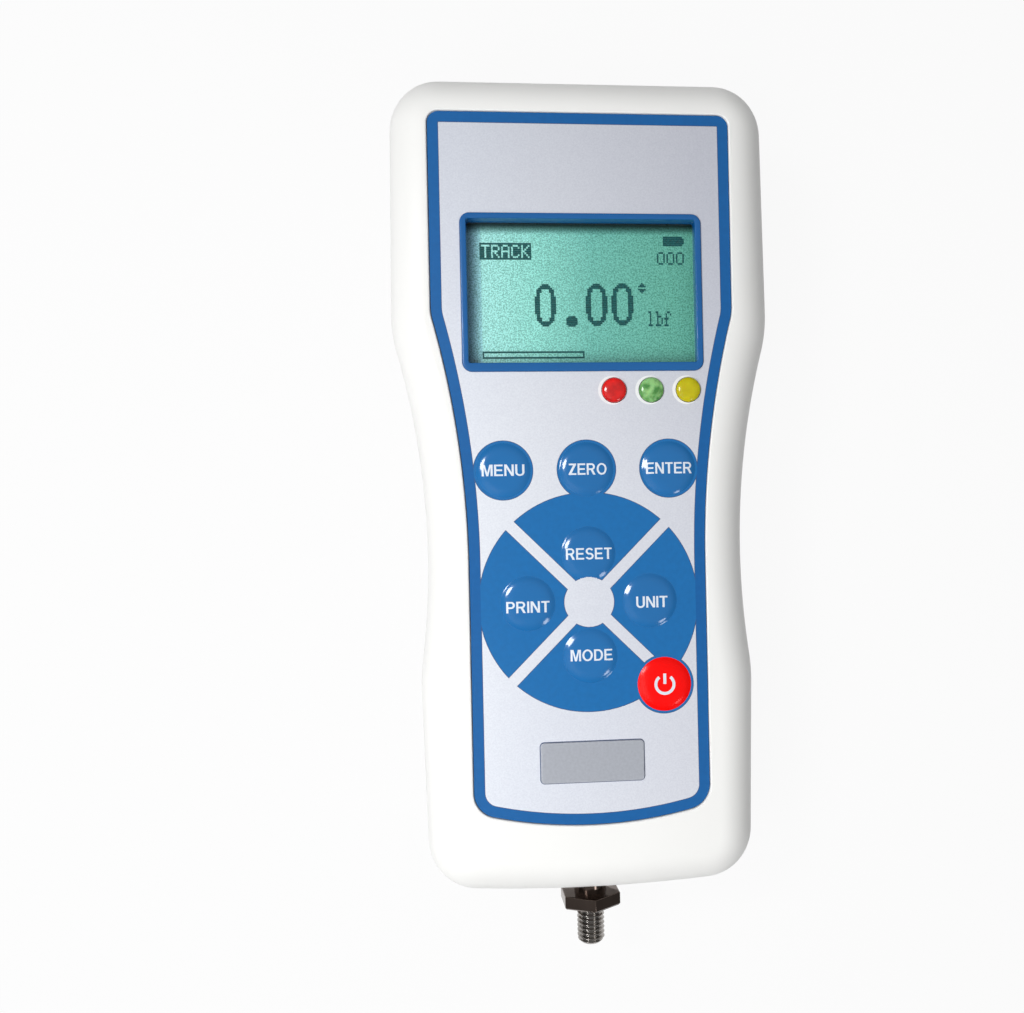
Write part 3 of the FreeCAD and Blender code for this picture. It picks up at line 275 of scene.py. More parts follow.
def casing_outline():
    shoulder_y = WAIST_Y + flare_reach(WAIST_RADIUS, shoulder_half - WAIST_HALF)
    foot_y = WAIST_Y - flare_reach(WAIST_RADIUS, FOOT_HALF - WAIST_HALF)
    low = base_y + BASE_BOW - math.sqrt(BASE_BOW**2 - BASE_HALF**2)
    right = [(BASE_HALF, low), (FOOT_HALF, foot_y), (shoulder_half, shoulder_y), (TOP_HALF, top_y)]
    fillets = [(CORNER_RADIUS, (0, 1, 4, 5)), (SHOULDER_RADIUS, (3, 6)), (FOOT_RADIUS, (2, 7))]
    return waisted_outline(right, BASE_BOW, WAIST_RADIUS, fillets)


def panel_outline():
    kink_y = BEND_Y + flare_reach(BEND_RADIUS, panel_head - PANEL_WAIST)
    low = panel_base_y + PANEL_BOW - math.sqrt(PANEL_BOW**2 - PANEL_WAIST**2)
    right = [(PANEL_WAIST, low), (PANEL_WAIST, BEND_Y), (panel_head, kink_y), (panel_head, panel_top_y)]
    fillets = [(PANEL_BASE_CORNER, (0, 1)), (KINK_RADIUS, (3, 6)), (PANEL_TOP_CORNER, (4, 5))]
    return waisted_outline(right, PANEL_BOW, BEND_RADIUS, fillets)


def polygon(*corners):
    return [Vector(corner) for corner in corners]


def slab(left, low, right, high):
    """The corners of an upright rectangle."""
    return polygon((left, low), (right, low), (right, high), (left, high))


def rectangle_outline(low, high, radius):
    return rounded_outline(slab(low[0], low[1], high[0], high[1]), {}, {n: radius for n in range(4)})


def circle_points(centre, radius, steps=CIRCLE_STEPS):
    turns = [math.tau * n / steps for n in range(steps)]
    return [Vector((centre[0] + radius * math.cos(t), centre[1] + radius * math.sin(t))) for t in turns]


def ring(outline, inset, z):
    """The outline moved inwards by inset, at a height."""
    places = [point - normal * inset for point, normal in outline]
    return [Vector((p.x, p.y, z)) for p in places]


def flat(outline, inset=0.0):
    """The outline moved inwards by inset, in the plane, without repeated points."""
    points = []
    for point, normal in outline:
        place = point - normal * inset
        if not points or (place - points[-1]).length > SAME_POINT:
            points.append(place)
    return points


# Meshes
def new_object(name, vertices, faces):
    mesh = bpy.data.meshes.new(name)
    mesh.from_pydata([Vector(v) * MM for v in vertices], [], faces)
    piece = bpy.data.objects.new(name, mesh)
    bpy.context.scene.collection.objects.link(piece)
    return piece


def tidy(piece):
    """Joins repeated points and turns every face outwards."""
    form = bmesh.new()
    form.from_mesh(piece.data)
    bmesh.ops.remove_doubles(form, verts=form.verts, dist=SAME_VERTEX)
    bmesh.ops.dissolve_degenerate(form, edges=form.edges, dist=NO_EDGE)
    bmesh.ops.recalc_face_normals(form, faces=form.faces)
    form.to_mesh(piece.data)
    form.free()
    return piece


def soften(piece, angle=CREASE):
    """Smooth shading with crisp edges above an angle."""
    piece.data.shade_smooth()
    piece.data.set_sharp_from_angle(angle=math.radians(angle))
    return piece


def stack(name, rings, closed=False):
    """A solid through rings of equal count, capped at both ends or closed on itself."""
    count = len(rings[0])
    vertices = [point for loop in rings for point in loop]
    faces = []
    pairs = [(n, n + 1) for n in range(len(rings) - 1)]
    if closed:
        pairs.append((len(rings) - 1, 0))
    for low, high in pairs:
        for n in range(count):
            m = (n + 1) % count
            faces.append((low * count + n, low * count + m, high * count + m, high * count + n))
    if not closed:
        faces.append(tuple(range(count)))
        faces.append(tuple((len(rings) - 1) * count + n for n in range(count)))
    return tidy(new_object(name, vertices, faces))


def rounded_steps(radius, steps=4):
    """Inset and drop pairs along a quarter round, from the flat to the side."""
    turns = [math.pi / 2 * n / steps for n in range(steps + 1)]
    return [(radius * (1 - math.sin(t)), radius * (1 - math.cos(t))) for t in turns]


def lathe(name, profile, centre, axis="Z", steps=CIRCLE_STEPS):
    """A solid turned from (radius, height) pairs about an axis through centre."""
    turn = Matrix.Rotation(-math.pi / 2 if axis == "Y" else 0.0, 3, "X")
    rings = []
    for radius, height in profile:
        points = circle_points((0, 0), radius, steps)
        rings.append([turn @ Vector((p.x, p.y, height)) + Vector(centre) for p in points])
    return stack(name, rings, closed=profile[0][0] > 0 and profile[-1][0] > 0)


def block(name, low, high):
    corners = slab(low[0], low[1], high[0], high[1])
    return stack(name, [[Vector((x, y, z)) for x, y in corners] for z in (low[2], high[2])])


def turned_at(places, name, profile):
    return [lathe(name, profile, (x, y, 0), "Z", TURNED_STEPS) for x, y in places]


def drums(places, name, radius, bottom, top):
    return turned_at(places, name, [(0, bottom), (radius, bottom), (radius, top), (0, top)])


def join(pieces):
    """Merges pieces into the first one."""
    form = bmesh.new()
    first = pieces[0]
    for piece in pieces:
        form.from_mesh(piece.data)
    form.to_mesh(first.data)
    form.free()
    for piece in pieces[1:]:
        bpy.data.objects.remove(piece)
    return first


def combine(piece, tool, operation="DIFFERENCE"):
    """Cuts another solid away, or adds it, and removes it."""
    modifier = piece.modifiers.new("combine", "BOOLEAN")
    modifier.operation = operation
    modifier.solver = "EXACT"
    modifier.object = tool
    graph = bpy.context.evaluated_depsgraph_get()
    mesh = bpy.data.meshes.new_from_object(piece.evaluated_get(graph))
    piece.modifiers.clear()
    piece.data = mesh
    bpy.data.objects.remove(tool)
    return piece


def thick_sheet(name, points, faces, slots, thickness, finish_names):
    """A closed sheet from flat faces with a drop straight down under each of them."""
    count = len(points)
    drop = Vector((0, 0, thickness))
    uses = {}
    for face, slot in zip(faces, slots):
        for a, b in zip(face, face[1:] + face[:1]):
            uses[(a, b)] = slot
    solid = faces + [[n + count for n in reversed(face)] for face in faces]
    numbers = slots * 2
    for (a, b), slot in uses.items():
        if (b, a) not in uses:
            solid.append([a, a + count, b + count, b])
            numbers.append(slot)
    piece = wear(new_object(name, points + [p - drop for p in points], solid), *finish_names)
    piece.data.polygons.foreach_set("material_index", numbers)
    return tidy(piece)


def cut_regions(outlines):
    """Triangles cut by closed outlines, each with the numbers of the outlines round it."""
    points = []
    faces = []
    for outline in outlines:
        faces.append(list(range(len(points), len(points) + len(outline))))
        points += outline
    found, _, triangles, _, _, origins = delaunay_2d_cdt(points, [], faces, 1, SAME_CUT)
    return found, zip(triangles, origins)


# Materials
def srgb(red, green, blue):
    """A colour as seen on screen, 0 to 255, as the shader's linear colour."""
    values = [v / 255 for v in (red, green, blue)]
    linear = [v / 12.92 if v <= 0.04045 else ((v + 0.055) / 1.055) ** 2.4 for v in values]
    return (*linear, 1.0)


PLAIN = srgb(255, 255, 255)


class Graph:
    """A tree of shader nodes that grows by one wired node at a time."""

    def __init__(self, tree):
        self.tree = tree

    def feed(self, socket, value):
        """Sets a socket to a constant, or links another node's output to it."""
        if isinstance(value, bpy.types.NodeSocket):
            self.tree.links.new(value, socket)
        else:
            socket.default_value = value

    def add(self, kind, inputs=(), output=0, **settings):
        """Adds a node with its inputs set or linked, and returns one of its outputs."""
        node = self.tree.nodes.new(f"ShaderNode{kind}")
        for name, value in settings.items():
            setattr(node, name, value)
        for name, value in dict(inputs).items():
            self.feed(node.inputs[name], value)
        return node.outputs[output]


class Finish(Graph):
    """A procedural material built round one Principled shader."""

    def __init__(self, name, roughness=0.5, metallic=0.0, specular=0.5, coat=0.0, coat_roughness=0.05):
        self.material = bpy.data.materials.new(name)
        self.material.use_nodes = True
        super().__init__(self.material.node_tree)
        self.shader = self.tree.nodes["Principled BSDF"]
        self.set("Roughness", roughness)
        self.set("Metallic", metallic)
        self.set("Specular IOR Level", specular)
        self.set("Coat Weight", coat)
        self.set("Coat Roughness", coat_roughness)
        self.place = self.add("TexCoord", output="Object")
        self.bump = None

    def set(self, socket, value):
        self.feed(self.shader.inputs[socket], value)

    def noise(self, scale, detail=2.0, stretch=(1.0, 1.0, 1.0)):
        place = self.add("Mapping", {"Vector": self.place, "Scale": stretch})
        return self.add("TexNoise", {"Vector": place, "Scale": scale, "Detail": detail})

    def ramp(self, factor, stops):
        colour = self.add("ValToRGB", {"Fac": factor})
        elements = colour.node.color_ramp.elements
        while len(elements) < len(stops):
            elements.new(0.5)
        for element, (position, tone) in zip(elements, stops):
            element.position = position
            element.color = tone
        return colour

    def rough(self, factor, low, high):
        self.set("Roughness", self.add("MapRange", {"Value": factor, "To Min": low, "To Max": high}))

    def shade(self, base, *layers):
        """Multiplies a base colour by layers, each with its share, and shows the result."""
        for share, layer in layers:
            inputs = {"Fac": share, "Color1": base, "Color2": layer}
            base = self.add("MixRGB", inputs, blend_type="MULTIPLY")
        self.set("Base Color", base)

    def along(self, axis, low, high):
        """0 to 1 across a stretch of the object, in millimetres."""
        reach = self.add("SeparateXYZ", {"Vector": self.place}, axis)
        return self.add("MapRange", {"Value": reach, "From Min": low * MM, "From Max": high * MM})

    def tones(self, factor, colour, spread):
        """Shows two close tones of one colour over a factor."""
        low = tuple(v * (1 - spread) for v in colour[:3]) + (1.0,)
        high = tuple(min(v * (1 + spread), 1.0) for v in colour[:3]) + (1.0,)
        self.set("Base Color", self.ramp(factor, [(0.3, low), (0.7, high)]))

    def relief(self, factor, strength, distance):
        """Adds fine relief over what is there already, its depth in millimetres."""
        inputs = {"Strength": strength, "Distance": distance * MM, "Height": factor}
        if self.bump is not None:
            inputs["Normal"] = self.bump
        self.bump = self.add("Bump", inputs)
        self.set("Normal", self.bump)


def moulded(name, colour, roughness, grain, spread, coat=0.0, specular=0.5):
    """Moulded plastic: fine spark texture, slight tone and gloss variation."""
    finish = Finish(name, roughness, specular=specular, coat=coat)
    finish.tones(finish.noise(45.0, 3.0), colour, spread)
    finish.rough(finish.noise(160.0), roughness - 0.05, roughness + 0.05)
    finish.relief(finish.noise(5200.0), 0.35, grain)
    finish.relief(finish.noise(320.0), 0.08, 0.02)
    return finish.material


def printed(name, colour, roughness=0.32, sheen_scale=900.0, spread=0.04, metallic=0.0):
    """Ink under a thin clear film: small tone variation and a soft gloss."""
    finish = Finish(name, roughness, metallic, coat=0.12, coat_roughness=0.22)
    finish.tones(finish.noise(sheen_scale), colour, spread)
    finish.relief(finish.noise(2400.0), 0.12, 0.004)
    return finish.material


def silver_print(name):
    """Silver ink: a pale metallic field that shifts slowly in tone, with painted shade darkening it towards
    the right and towards the top.
    """
    finish = Finish(name, 0.4, 0.12, coat=0.15, coat_roughness=0.3)
    slow = finish.ramp(
        finish.noise(14.0, 1.0, (1.0, 0.4, 1.0)),
        [(0.3, srgb(230, 235, 245)), (0.5, srgb(237, 241, 248)), (0.72, srgb(244, 248, 252))],
    )
    fine = finish.ramp(finish.noise(3600.0), [(0.3, srgb(236, 236, 239)), (0.7, PLAIN)])
    # painted shade: the across ramp darkens the field towards the right and the upward ramp darkens it
    # towards the top, as light falling off
    across = finish.ramp(finish.along("X", -24.0, 24.0), [(0.0, PLAIN), (1.0, srgb(236, 235, 238))])
    upward = finish.ramp(finish.along("Y", -70.0, 75.0), [(0.45, PLAIN), (1.0, srgb(236, 236, 238))])
    finish.shade(slow, (0.6, fine), (1.0, across), (1.0, upward))
    finish.relief(finish.noise(5200.0, 1.0), 0.08, 0.004)
    return finish.material


def metal(name, colour, roughness, scale, stretch=(1.0, 1.0, 1.0), relief=0.004):
    """Metal with fine tool or brush marks along one direction."""
    finish = Finish(name, roughness, 1.0)
    marks = finish.noise(scale, 3.0, stretch)
    finish.tones(marks, colour, 0.08)
    finish.rough(marks, roughness - 0.07, roughness + 0.07)
    finish.relief(marks, 0.25, relief)
    return finish.material


def circuit(name):
    """Solder mask with faint tracks under it."""
    finish = Finish(name, 0.35, coat=0.4, coat_roughness=0.2)
    tracks = finish.noise(700.0, 0.0, (1.0, 0.08, 1.0))
    finish.set("Base Color", finish.ramp(tracks, [(0.46, srgb(18, 84, 52)), (0.54, srgb(34, 112, 70))]))
    finish.relief(tracks, 0.3, 0.02)
    return finish.material


def clear_sheet(name):
    """Thin clear plastic."""
    finish = Finish(name, 0.08)
    finish.tones(finish.noise(60.0, 1.0), srgb(120, 150, 150), 0.02)
    finish.set("Alpha", 0.012)
    finish.relief(finish.noise(90.0, 1.0), 0.02, 0.01)
    return finish.material


def lens(name, colour, dark, mottle, share, coat):
    """Tinted lamp resin with some depth in its colour."""
    finish = Finish(name, 0.2, coat=coat, coat_roughness=0.04)
    cells = finish.noise(mottle, 3.0)
    finish.set("Base Color", finish.ramp(cells, [(0.5 - share, dark), (0.5 + share, colour)]))
    finish.set("Subsurface Weight", 0.15)
    finish.set("Subsurface Scale", 0.0006)
    finish.relief(finish.noise(700.0, 1.0), 0.05, 0.02)
    return finish.material


def screen(name):
    """The display's field, paler at the left as painted light, with the grain of its cells, and painted
    shadow of the frame along its left and top edges; the left band stands also for the glass's inactive edge.
    """
    finish = Finish(name, 0.35, coat=0.1, coat_roughness=0.3)
    # painted light: the field is paler at the left and darker to the right, as if lit from the left
    base = finish.ramp(finish.along("X", -23.0, 23.0), [
        (0.0, srgb(190, 255, 250)), (0.3, srgb(162, 240, 228)), (0.55, srgb(126, 208, 194)),
        (1.0, srgb(106, 188, 166)),
    ])
    # painted shadow of the frame's left wall on the glass, standing also for the glass's inactive edge
    left_painted_shadow = finish.ramp(finish.along("X", -23.0, -20.4), [
        (0.0, srgb(176, 184, 214)), (0.5, srgb(226, 228, 246)), (0.9, srgb(236, 238, 250)), (1.0, PLAIN),
    ])
    # painted shadow of the frame's top wall along the field's top edge
    top_painted_shadow = finish.ramp(
        finish.along("Y", 51.6, 54.0), [(0.0, PLAIN), (0.45, srgb(150, 160, 160)), (0.8, srgb(60, 70, 76))]
    )
    grain = finish.ramp(finish.noise(3400.0), [(0.36, srgb(150, 176, 168)), (0.6, PLAIN)])
    finish.shade(base, (1.0, left_painted_shadow), (1.0, top_painted_shadow), (0.8, grain))
    finish.relief(finish.noise(2600.0, 1.0), 0.1, 0.01)
    return finish.material


def screen_ink(name):
    """The dark state of the display's cells, with light breaking through."""
    finish = Finish(name, 0.4)
    finish.tones(finish.noise(2600.0), srgb(6, 80, 80), 0.45)
    return finish.material


BLUE = srgb(10, 106, 172)

# Colour, roughness, grain, spread of tone, coat, specular
PLASTICS = {
    "casing_white": (srgb(243, 243, 241), 0.42, 0.006, 0.008),
    "key_blue": (BLUE, 0.16, 0.002, 0.05, 0.7),
    "key_red": (srgb(252, 3, 0), 0.22, 0.002, 0.03, 0.1, 0.2),
    "frame_blue": (srgb(8, 92, 158), 0.25, 0.003, 0.05, 0.4),
    "black_plastic": (srgb(30, 30, 32), 0.45, 0.006, 0.1),
    "clear_film": (srgb(214, 220, 226), 0.3, 0.002, 0.02, 0.3),
    "backlight_white": (srgb(236, 240, 240), 0.35, 0.003, 0.02),
    "ivory_plastic": (srgb(226, 220, 196), 0.4, 0.004, 0.03),
    "black_rubber": (srgb(26, 26, 27), 0.7, 0.012, 0.1),
    "cell_wrap": (srgb(44, 96, 150), 0.3, 0.003, 0.05, 0.4),
}

# Colour, roughness, scale and spread of tone, metallic
INKS = {
    "blue_ink": (BLUE,),
    # painted shade: the border's blue is a darker copy of the pad's blue
    "border_ink": (srgb(2, 93, 160),),
    "edge_ink": (srgb(58, 78, 118), 0.45),
    # painted highlight: the white of the shifted rings round the lamps
    "lamp_white": (srgb(240, 242, 244), 0.3),
    "legend_white": (srgb(222, 230, 240), 0.35),
    "plate_grey": (srgb(182, 186, 195), 0.42, 1800.0, 0.05, 0.35),
}

# Colour, roughness, scale and stretch of the marks, depth of the marks
METALS = {
    "dark_chrome": (srgb(106, 94, 87), 0.12, 300.0, (1.0, 0.2, 1.0), 0.001),
    "stud_steel": (srgb(158, 154, 150), 0.16, 600.0, (1.0, 3.0, 1.0), 0.001),
    "screw_zinc": (srgb(186, 188, 192), 0.26, 700.0),
    "spring_steel": (srgb(190, 192, 196), 0.25, 900.0),
    "tin_plate": (srgb(200, 200, 204), 0.3, 400.0),
    "brass": (srgb(214, 176, 98), 0.28, 800.0),
    "machined_aluminium": (srgb(206, 208, 212), 0.32, 500.0, (0.2, 3.0, 1.0)),
    "gauge_foil": (srgb(208, 160, 96), 0.35, 2500.0, (3.0, 0.3, 1.0)),
}

# Two colours, scale of the mottle, width of the step between the colours, coat
RESINS = {
    "red_resin": (srgb(246, 14, 6), srgb(190, 4, 2), 500.0, 0.18, 0.8),
    "green_resin": (srgb(150, 206, 130), srgb(74, 138, 66), 620.0, 0.12, 0.4),
    "yellow_resin": (srgb(206, 196, 2), srgb(186, 174, 0), 300.0, 0.2, 0.2),
}

SINGLE_FINISHES = {
    "silver_ink": silver_print,
    "screen_green": screen,
    "screen_dark": screen_ink,
    "window_clear": clear_sheet,
    "circuit_board": circuit,
}


def make_finishes():
    """Every finish by name: the families in their tables first, then the single ones."""
    made = {}
    for make, table in ((moulded, PLASTICS), (printed, INKS), (metal, METALS), (lens, RESINS)):
        for name, values in table.items():
            made[name] = make(name, *values)
    for name, make in SINGLE_FINISHES.items():
        made[name] = make(name)
    return made


finishes = make_finishes()

# The finish of each slot that hasn't a finish of its own name
SLOT_FINISH = {
    "white_casing": "casing_white",
    "panel_print": "silver_ink",
    "blue_key": "key_blue",
    "sector_key": "key_blue",
    "red_key": "key_red",
    "red_lens": "red_resin",
    "green_lens": "green_resin",
    "yellow_lens": "yellow_resin",
    "plate_metal": "plate_grey",
    "frame_plastic": "frame_blue",
    "display_green": "screen_green",
    "zinc_screw": "screw_zinc",
    "plated_steel": "dark_chrome",
}


def dress_nodes():
    """Gives every carried-over node the finish of its slot."""
    for entry in frame["record"]["subparts"]:
        slot = entry["material_slot"]
        for holder in nodes[entry["node"]].material_slots:
            holder.material = finishes[SLOT_FINISH.get(slot, slot)]


def wear(piece, *finish_names):
    piece.data.materials.clear()
    for name in finish_names:
        piece.data.materials.append(finishes[name])
    return piece


def carry(piece, body="gauge"):
    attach(piece, body)


def stand_for(piece, node, body="gauge"):
    carry(piece, body)
    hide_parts(node)


# Casing
def mirrored(places):
    return places + [(-x, y) for x, y in places]


CASE_POSTS = mirrored([(30.3, 72.0), (25.2, -72.0)])
MOUNT_PLACES = mirrored([(20.0, 15.0), (20.0, -15.0)])
POST_RADIUS = 4.2
PILOT_RADIUS = 1.4
PILOT_DEPTH = 9.0
SCREW_RECESS = 3.0
SCREW_RECESS_DEPTH = 4.0
RECESS_CHAMFER = 0.25
SCREW_CLEARANCE = 1.7
BUSH_RADIUS = 3.5
FRAME_LEDGE = 0.4
RING_HOLE = 6.2
RING_ROOM = 8.1
RING_ROOM_DEPTH = 2
SOCKET_GAP = 0.15
REACH = 5.0
ROOT = 0.5
# Insets and heights of the tongue along the parting line
TONGUE = [(3.6, 16.8), (3.6, 19.2), (2.6, 19.2), (2.6, 18.0), (2.3, 18.0), (2.3, 16.8)]


def cut_ends(shell):
    """Cuts the holes for the guard ring and the power socket through the end walls."""
    start = base_y - REACH
    inside = base_y + SIDE_WALL
    room = inside + RING_ROOM_DEPTH
    profile = [(0, start), (RING_HOLE, start), (RING_HOLE, inside)]
    profile += [(RING_ROOM, inside), (RING_ROOM, room), (0, room)]
    combine(shell, lathe("ring_cutter", profile, (0, 0, split), "Y", SMALL_STEPS))
    combine(shell, socket_cutter("power_socket"))


def socket_cutter(node):
    """A block through the end wall, a little larger than the socket in it."""
    low, high = box_mm(node)
    start = Vector((low.x - SOCKET_GAP, top_y - SIDE_WALL - 1, low.z - SOCKET_GAP))
    end = Vector((high.x + SOCKET_GAP, top_y + REACH, high.z + SOCKET_GAP))
    return block(f"{node}_cutter", start, end)


def recess_cutter(panel):
    """What the front panel's recess takes out of the housing, with a small round at its mouth."""
    gap = -PANEL_GAP
    places = [(gap, RECESS_FLOOR)]
    places += [(gap - inset, body_depth - drop) for inset, drop in reversed(rounded_steps(RECESS_EDGE))]
    places.append((gap - RECESS_EDGE, body_depth + 1))
    return stack("recess_cutter", [ring(panel, inset, z) for inset, z in places])


def finish_shell(shell, node):
    """Crisp edges and even shading on the flats of a housing half."""
    soften(wear(tidy(shell), "casing_white"))
    modifier = shell.modifiers.new("normals", "WEIGHTED_NORMAL")
    modifier.keep_sharp = True
    stand_for(shell, node)


def half_housing(name, casing, face, ceiling, edge, steps, away):
    """A hollow half, from its face over the lip to its ceiling: away is 1 in front and -1 behind."""
    places = [(inset, face - away * drop) for inset, drop in rounded_steps(edge, steps)]
    places += [(0, split + away * PARTING), (PARTING / 3, split + away * PARTING / 3)]
    places += [(PARTING, split), (SIDE_WALL, split)]
    inner = reversed(rounded_steps(edge - SIDE_WALL, steps // 2))
    places += [(SIDE_WALL + inset, ceiling - away * drop) for inset, drop in inner]
    return stack(name, [ring(casing, inset, z) for inset, z in places])


def make_front_shell(casing, panel):
    shell = half_housing("front_housing", casing, body_depth, CEILING, FRONT_EDGE, FRONT_EDGE_STEPS, 1)
    combine(shell, recess_cutter(panel))
    posts = drums(CASE_POSTS, "post", POST_RADIUS, split, CEILING + ROOT)
    combine(shell, join(posts), "UNION")
    lamp_places = [middle(name).to_2d() for name in LAMPS]
    cutters = drums(CASE_POSTS, "pilot", PILOT_RADIUS, split - 1, split + PILOT_DEPTH)
    cutters += drums(lamp_places, "lamp_hole", LAMP_HOLE, CEILING - 1, RECESS_FLOOR + 1)
    low = (frame_low.x + FRAME_LEDGE, frame_low.y + FRAME_LEDGE, CEILING - 1)
    high = (frame_high.x - FRAME_LEDGE, frame_high.y - FRAME_LEDGE, RECESS_FLOOR + 1)
    cutters.append(block("display_cutter", low, high))
    combine(shell, join(cutters))
    cut_ends(shell)
    finish_shell(shell, "front_shell")


def make_rear_shell(casing):
    shell = half_housing("rear_housing", casing, 0, BACK_WALL, BACK_EDGE, BACK_EDGE_STEPS, -1)
    tongue = stack("tongue", [ring(casing, inset, z) for inset, z in TONGUE], closed=True)
    combine(shell, tongue, "UNION")
    posts = drums(CASE_POSTS, "post", POST_RADIUS, BACK_WALL - ROOT, split)
    combine(shell, join(posts), "UNION")
    screw_profile = [
        (0, -1), (SCREW_RECESS + RECESS_CHAMFER, -1), (SCREW_RECESS + RECESS_CHAMFER, 0),
        (SCREW_RECESS, RECESS_CHAMFER), (SCREW_RECESS, SCREW_RECESS_DEPTH),
        (SCREW_CLEARANCE, SCREW_RECESS_DEPTH), (SCREW_CLEARANCE, split + 1), (0, split + 1),
    ]
    cutters = turned_at(CASE_POSTS, "counterbore", screw_profile)
    cutters += drums(MOUNT_PLACES, "bush_hole", BUSH_RADIUS, -1, BACK_WALL + 1)
    combine(shell, join(cutters))
    combine(shell, socket_cutter("data_socket"))
    cut_ends(shell)
    finish_shell(shell, "rear_shell")


# Front panel
PANEL_INKS = ["silver_ink", "blue_ink", "edge_ink", "lamp_white", "border_ink"]


def band_points(width, turn):
    """A straight band across the pad at an angle."""
    half = PAD_RADIUS + 2
    rotation = Matrix.Rotation(math.radians(turn), 2)
    return [PAD + rotation @ corner for corner in slab(-half, -width / 2, half, width / 2)]


def panel_shapes(panel):
    """Every outline printed on or cut through the front panel."""
    low = (frame_low.x - FRAME_GAP, frame_low.y - FRAME_GAP)
    high = (frame_high.x + FRAME_GAP, frame_high.y + FRAME_GAP)
    display = rectangle_outline(low, high, FRAME_CORNER + FRAME_GAP)
    plate = rectangle_outline(*box_mm("rating_plate"), PLATE_CORNER)
    shapes = {
        "sheet": flat(panel),
        "field": flat(panel, BORDER),
        "field_line": flat(panel, BORDER - PRINT_LINE),
        "hole_display": flat(display),
        "pad": circle_points(PAD, PAD_RADIUS, PAD_STEPS),
        "pad_core": circle_points(PAD, PAD_RADIUS - PRINT_LINE, PAD_STEPS),
        "centre": circle_points(PAD, PAD_CENTRE),
        "centre_line": circle_points(PAD, PAD_CENTRE + PRINT_LINE),
        # a dark line round the rating plate, partly its adhesive edge and partly painted shadow of the plate
        "plate_line": flat(plate, -PLATE_LINE),
    }
    for turn in BAND_TURNS:
        shapes[f"band_{turn}"] = band_points(BAND_WIDTH, turn)
        shapes[f"wide_{turn}"] = band_points(BAND_WIDTH + 2 * PRINT_LINE, turn)
    for name in KEYS:
        shapes[f"hole_{name}"] = circle_points(middle(name), KEY_HOLE)
    for name in DISC_KEYS:
        shapes[f"disc_{name}"] = circle_points(middle(name), DISC_RADIUS)
        shapes[f"core_{name}"] = circle_points(middle(name), DISC_RADIUS - PRINT_LINE)
    for name in LAMPS:
        place = middle(name)
        shapes[f"hole_{name}"] = circle_points(place, LAMP_HOLE, SMALL_STEPS)
        # painted highlight: a white ring shifted left, showing as a crescent at the lamp's left
        shifted = (place.x + LAMP_RING_SHIFT, place.y)
        shapes[f"glint_{name}"] = circle_points(shifted, LAMP_RING, SMALL_STEPS)
    return shapes


def panel_ink(inside):
    """The ink of a region of the front panel, from the shapes round it; the white round the lamps is a
    painted highlight and the border's darker blue is painted shade.
    """

    def any_of(prefix):
        return any(name.startswith(prefix) for name in inside)

    if "sheet" not in inside or any_of("hole_"):
        return None
    # the border takes the darker copy of the blue, as painted shade
    if "field_line" not in inside:
        return "border_ink"
    if any_of("core_") or ("pad_core" in inside and not any_of("wide_") and "centre_line" not in inside):
        return "blue_ink"
    # print lines, and the line round the rating plate, which is partly painted shadow
    if "field" not in inside or any_of("disc_") or "plate_line" in inside:
        return "edge_ink"
    if "pad" in inside and not any_of("band_") and "centre" not in inside:
        return "edge_ink"
    # the shifted ring round a lamp is white as a painted highlight
    return "lamp_white" if any_of("glint_") else "silver_ink"


def make_panel(panel):
    """The printed sheet, cut into its inked regions."""
    shapes = panel_shapes(panel)
    names = list(shapes)
    found, regions = cut_regions(shapes.values())
    faces = []
    inks = []
    for triangle, origin in regions:
        ink = panel_ink({names[n] for n in origin})
        if ink:
            faces.append(list(triangle))
            inks.append(PANEL_INKS.index(ink))
    points = [Vector((p.x, p.y, panel_top_z)) for p in found]
    thickness = overlay_high.z - overlay_low.z
    sheet = thick_sheet("printed_panel", points, faces, inks, thickness, PANEL_INKS)
    stand_for(sheet, "panel_overlay")


# Keys
KEY_CROWN = 0.62
DOME_POWER = 6.0
DOME_EASE = 1.3
KEY_UNDER_GAP = 0.02
KEY_FLANGE = 0.5
FLANGE_HEIGHT = 0.18
KEY_STEPS = 36


def dome_height(radius):
    """How high a key stands over the panel at a distance from its centre."""
    share = min(radius / KEY_RADIUS, 1.0)
    return KEY_CROWN * (1 - share**DOME_POWER) ** DOME_EASE


def make_key(name, finish_name):
    under = box_mm(name)[0].z + KEY_UNDER_GAP
    flange = KEY_RADIUS + KEY_FLANGE
    top = under + FLANGE_HEIGHT
    profile = [(0, under), (flange, under), (flange, top), (KEY_RADIUS, top)]
    for n in range(KEY_STEPS, -1, -1):
        radius = KEY_RADIUS * n / KEY_STEPS
        profile.append((radius, panel_top_z + dome_height(radius)))
    cap = lathe(f"{name}_cap", profile, (*middle(name).to_2d(), 0))
    key = soften(wear(cap, finish_name, "silver_ink"), KEY_CREASE)
    for face in key.data.polygons:
        if (face.center.to_2d() / MM - PAD).length < PAD_CENTRE:
            face.material_index = 1
    stand_for(key, name, name)


# Bold capitals, as strokes in a box one unit high that overlap where they meet
STEM = 0.185
BAR = 0.15
LETTER_GAP = 0.12


def bow(centre, reach, start, end, steps=20):
    """Part of an oval ring, as wide as a stem at its sides and as a bar above and below."""
    turns = [math.radians(start + (end - start) * n / steps) for n in range(steps + 1)]
    outline = []
    for wide, tall in (reach, (reach[0] - STEM, reach[1] - BAR)):
        outline += [Vector((centre[0] + wide * math.cos(t), centre[1] + tall * math.sin(t))) for t in turns]
        turns.reverse()
    return outline


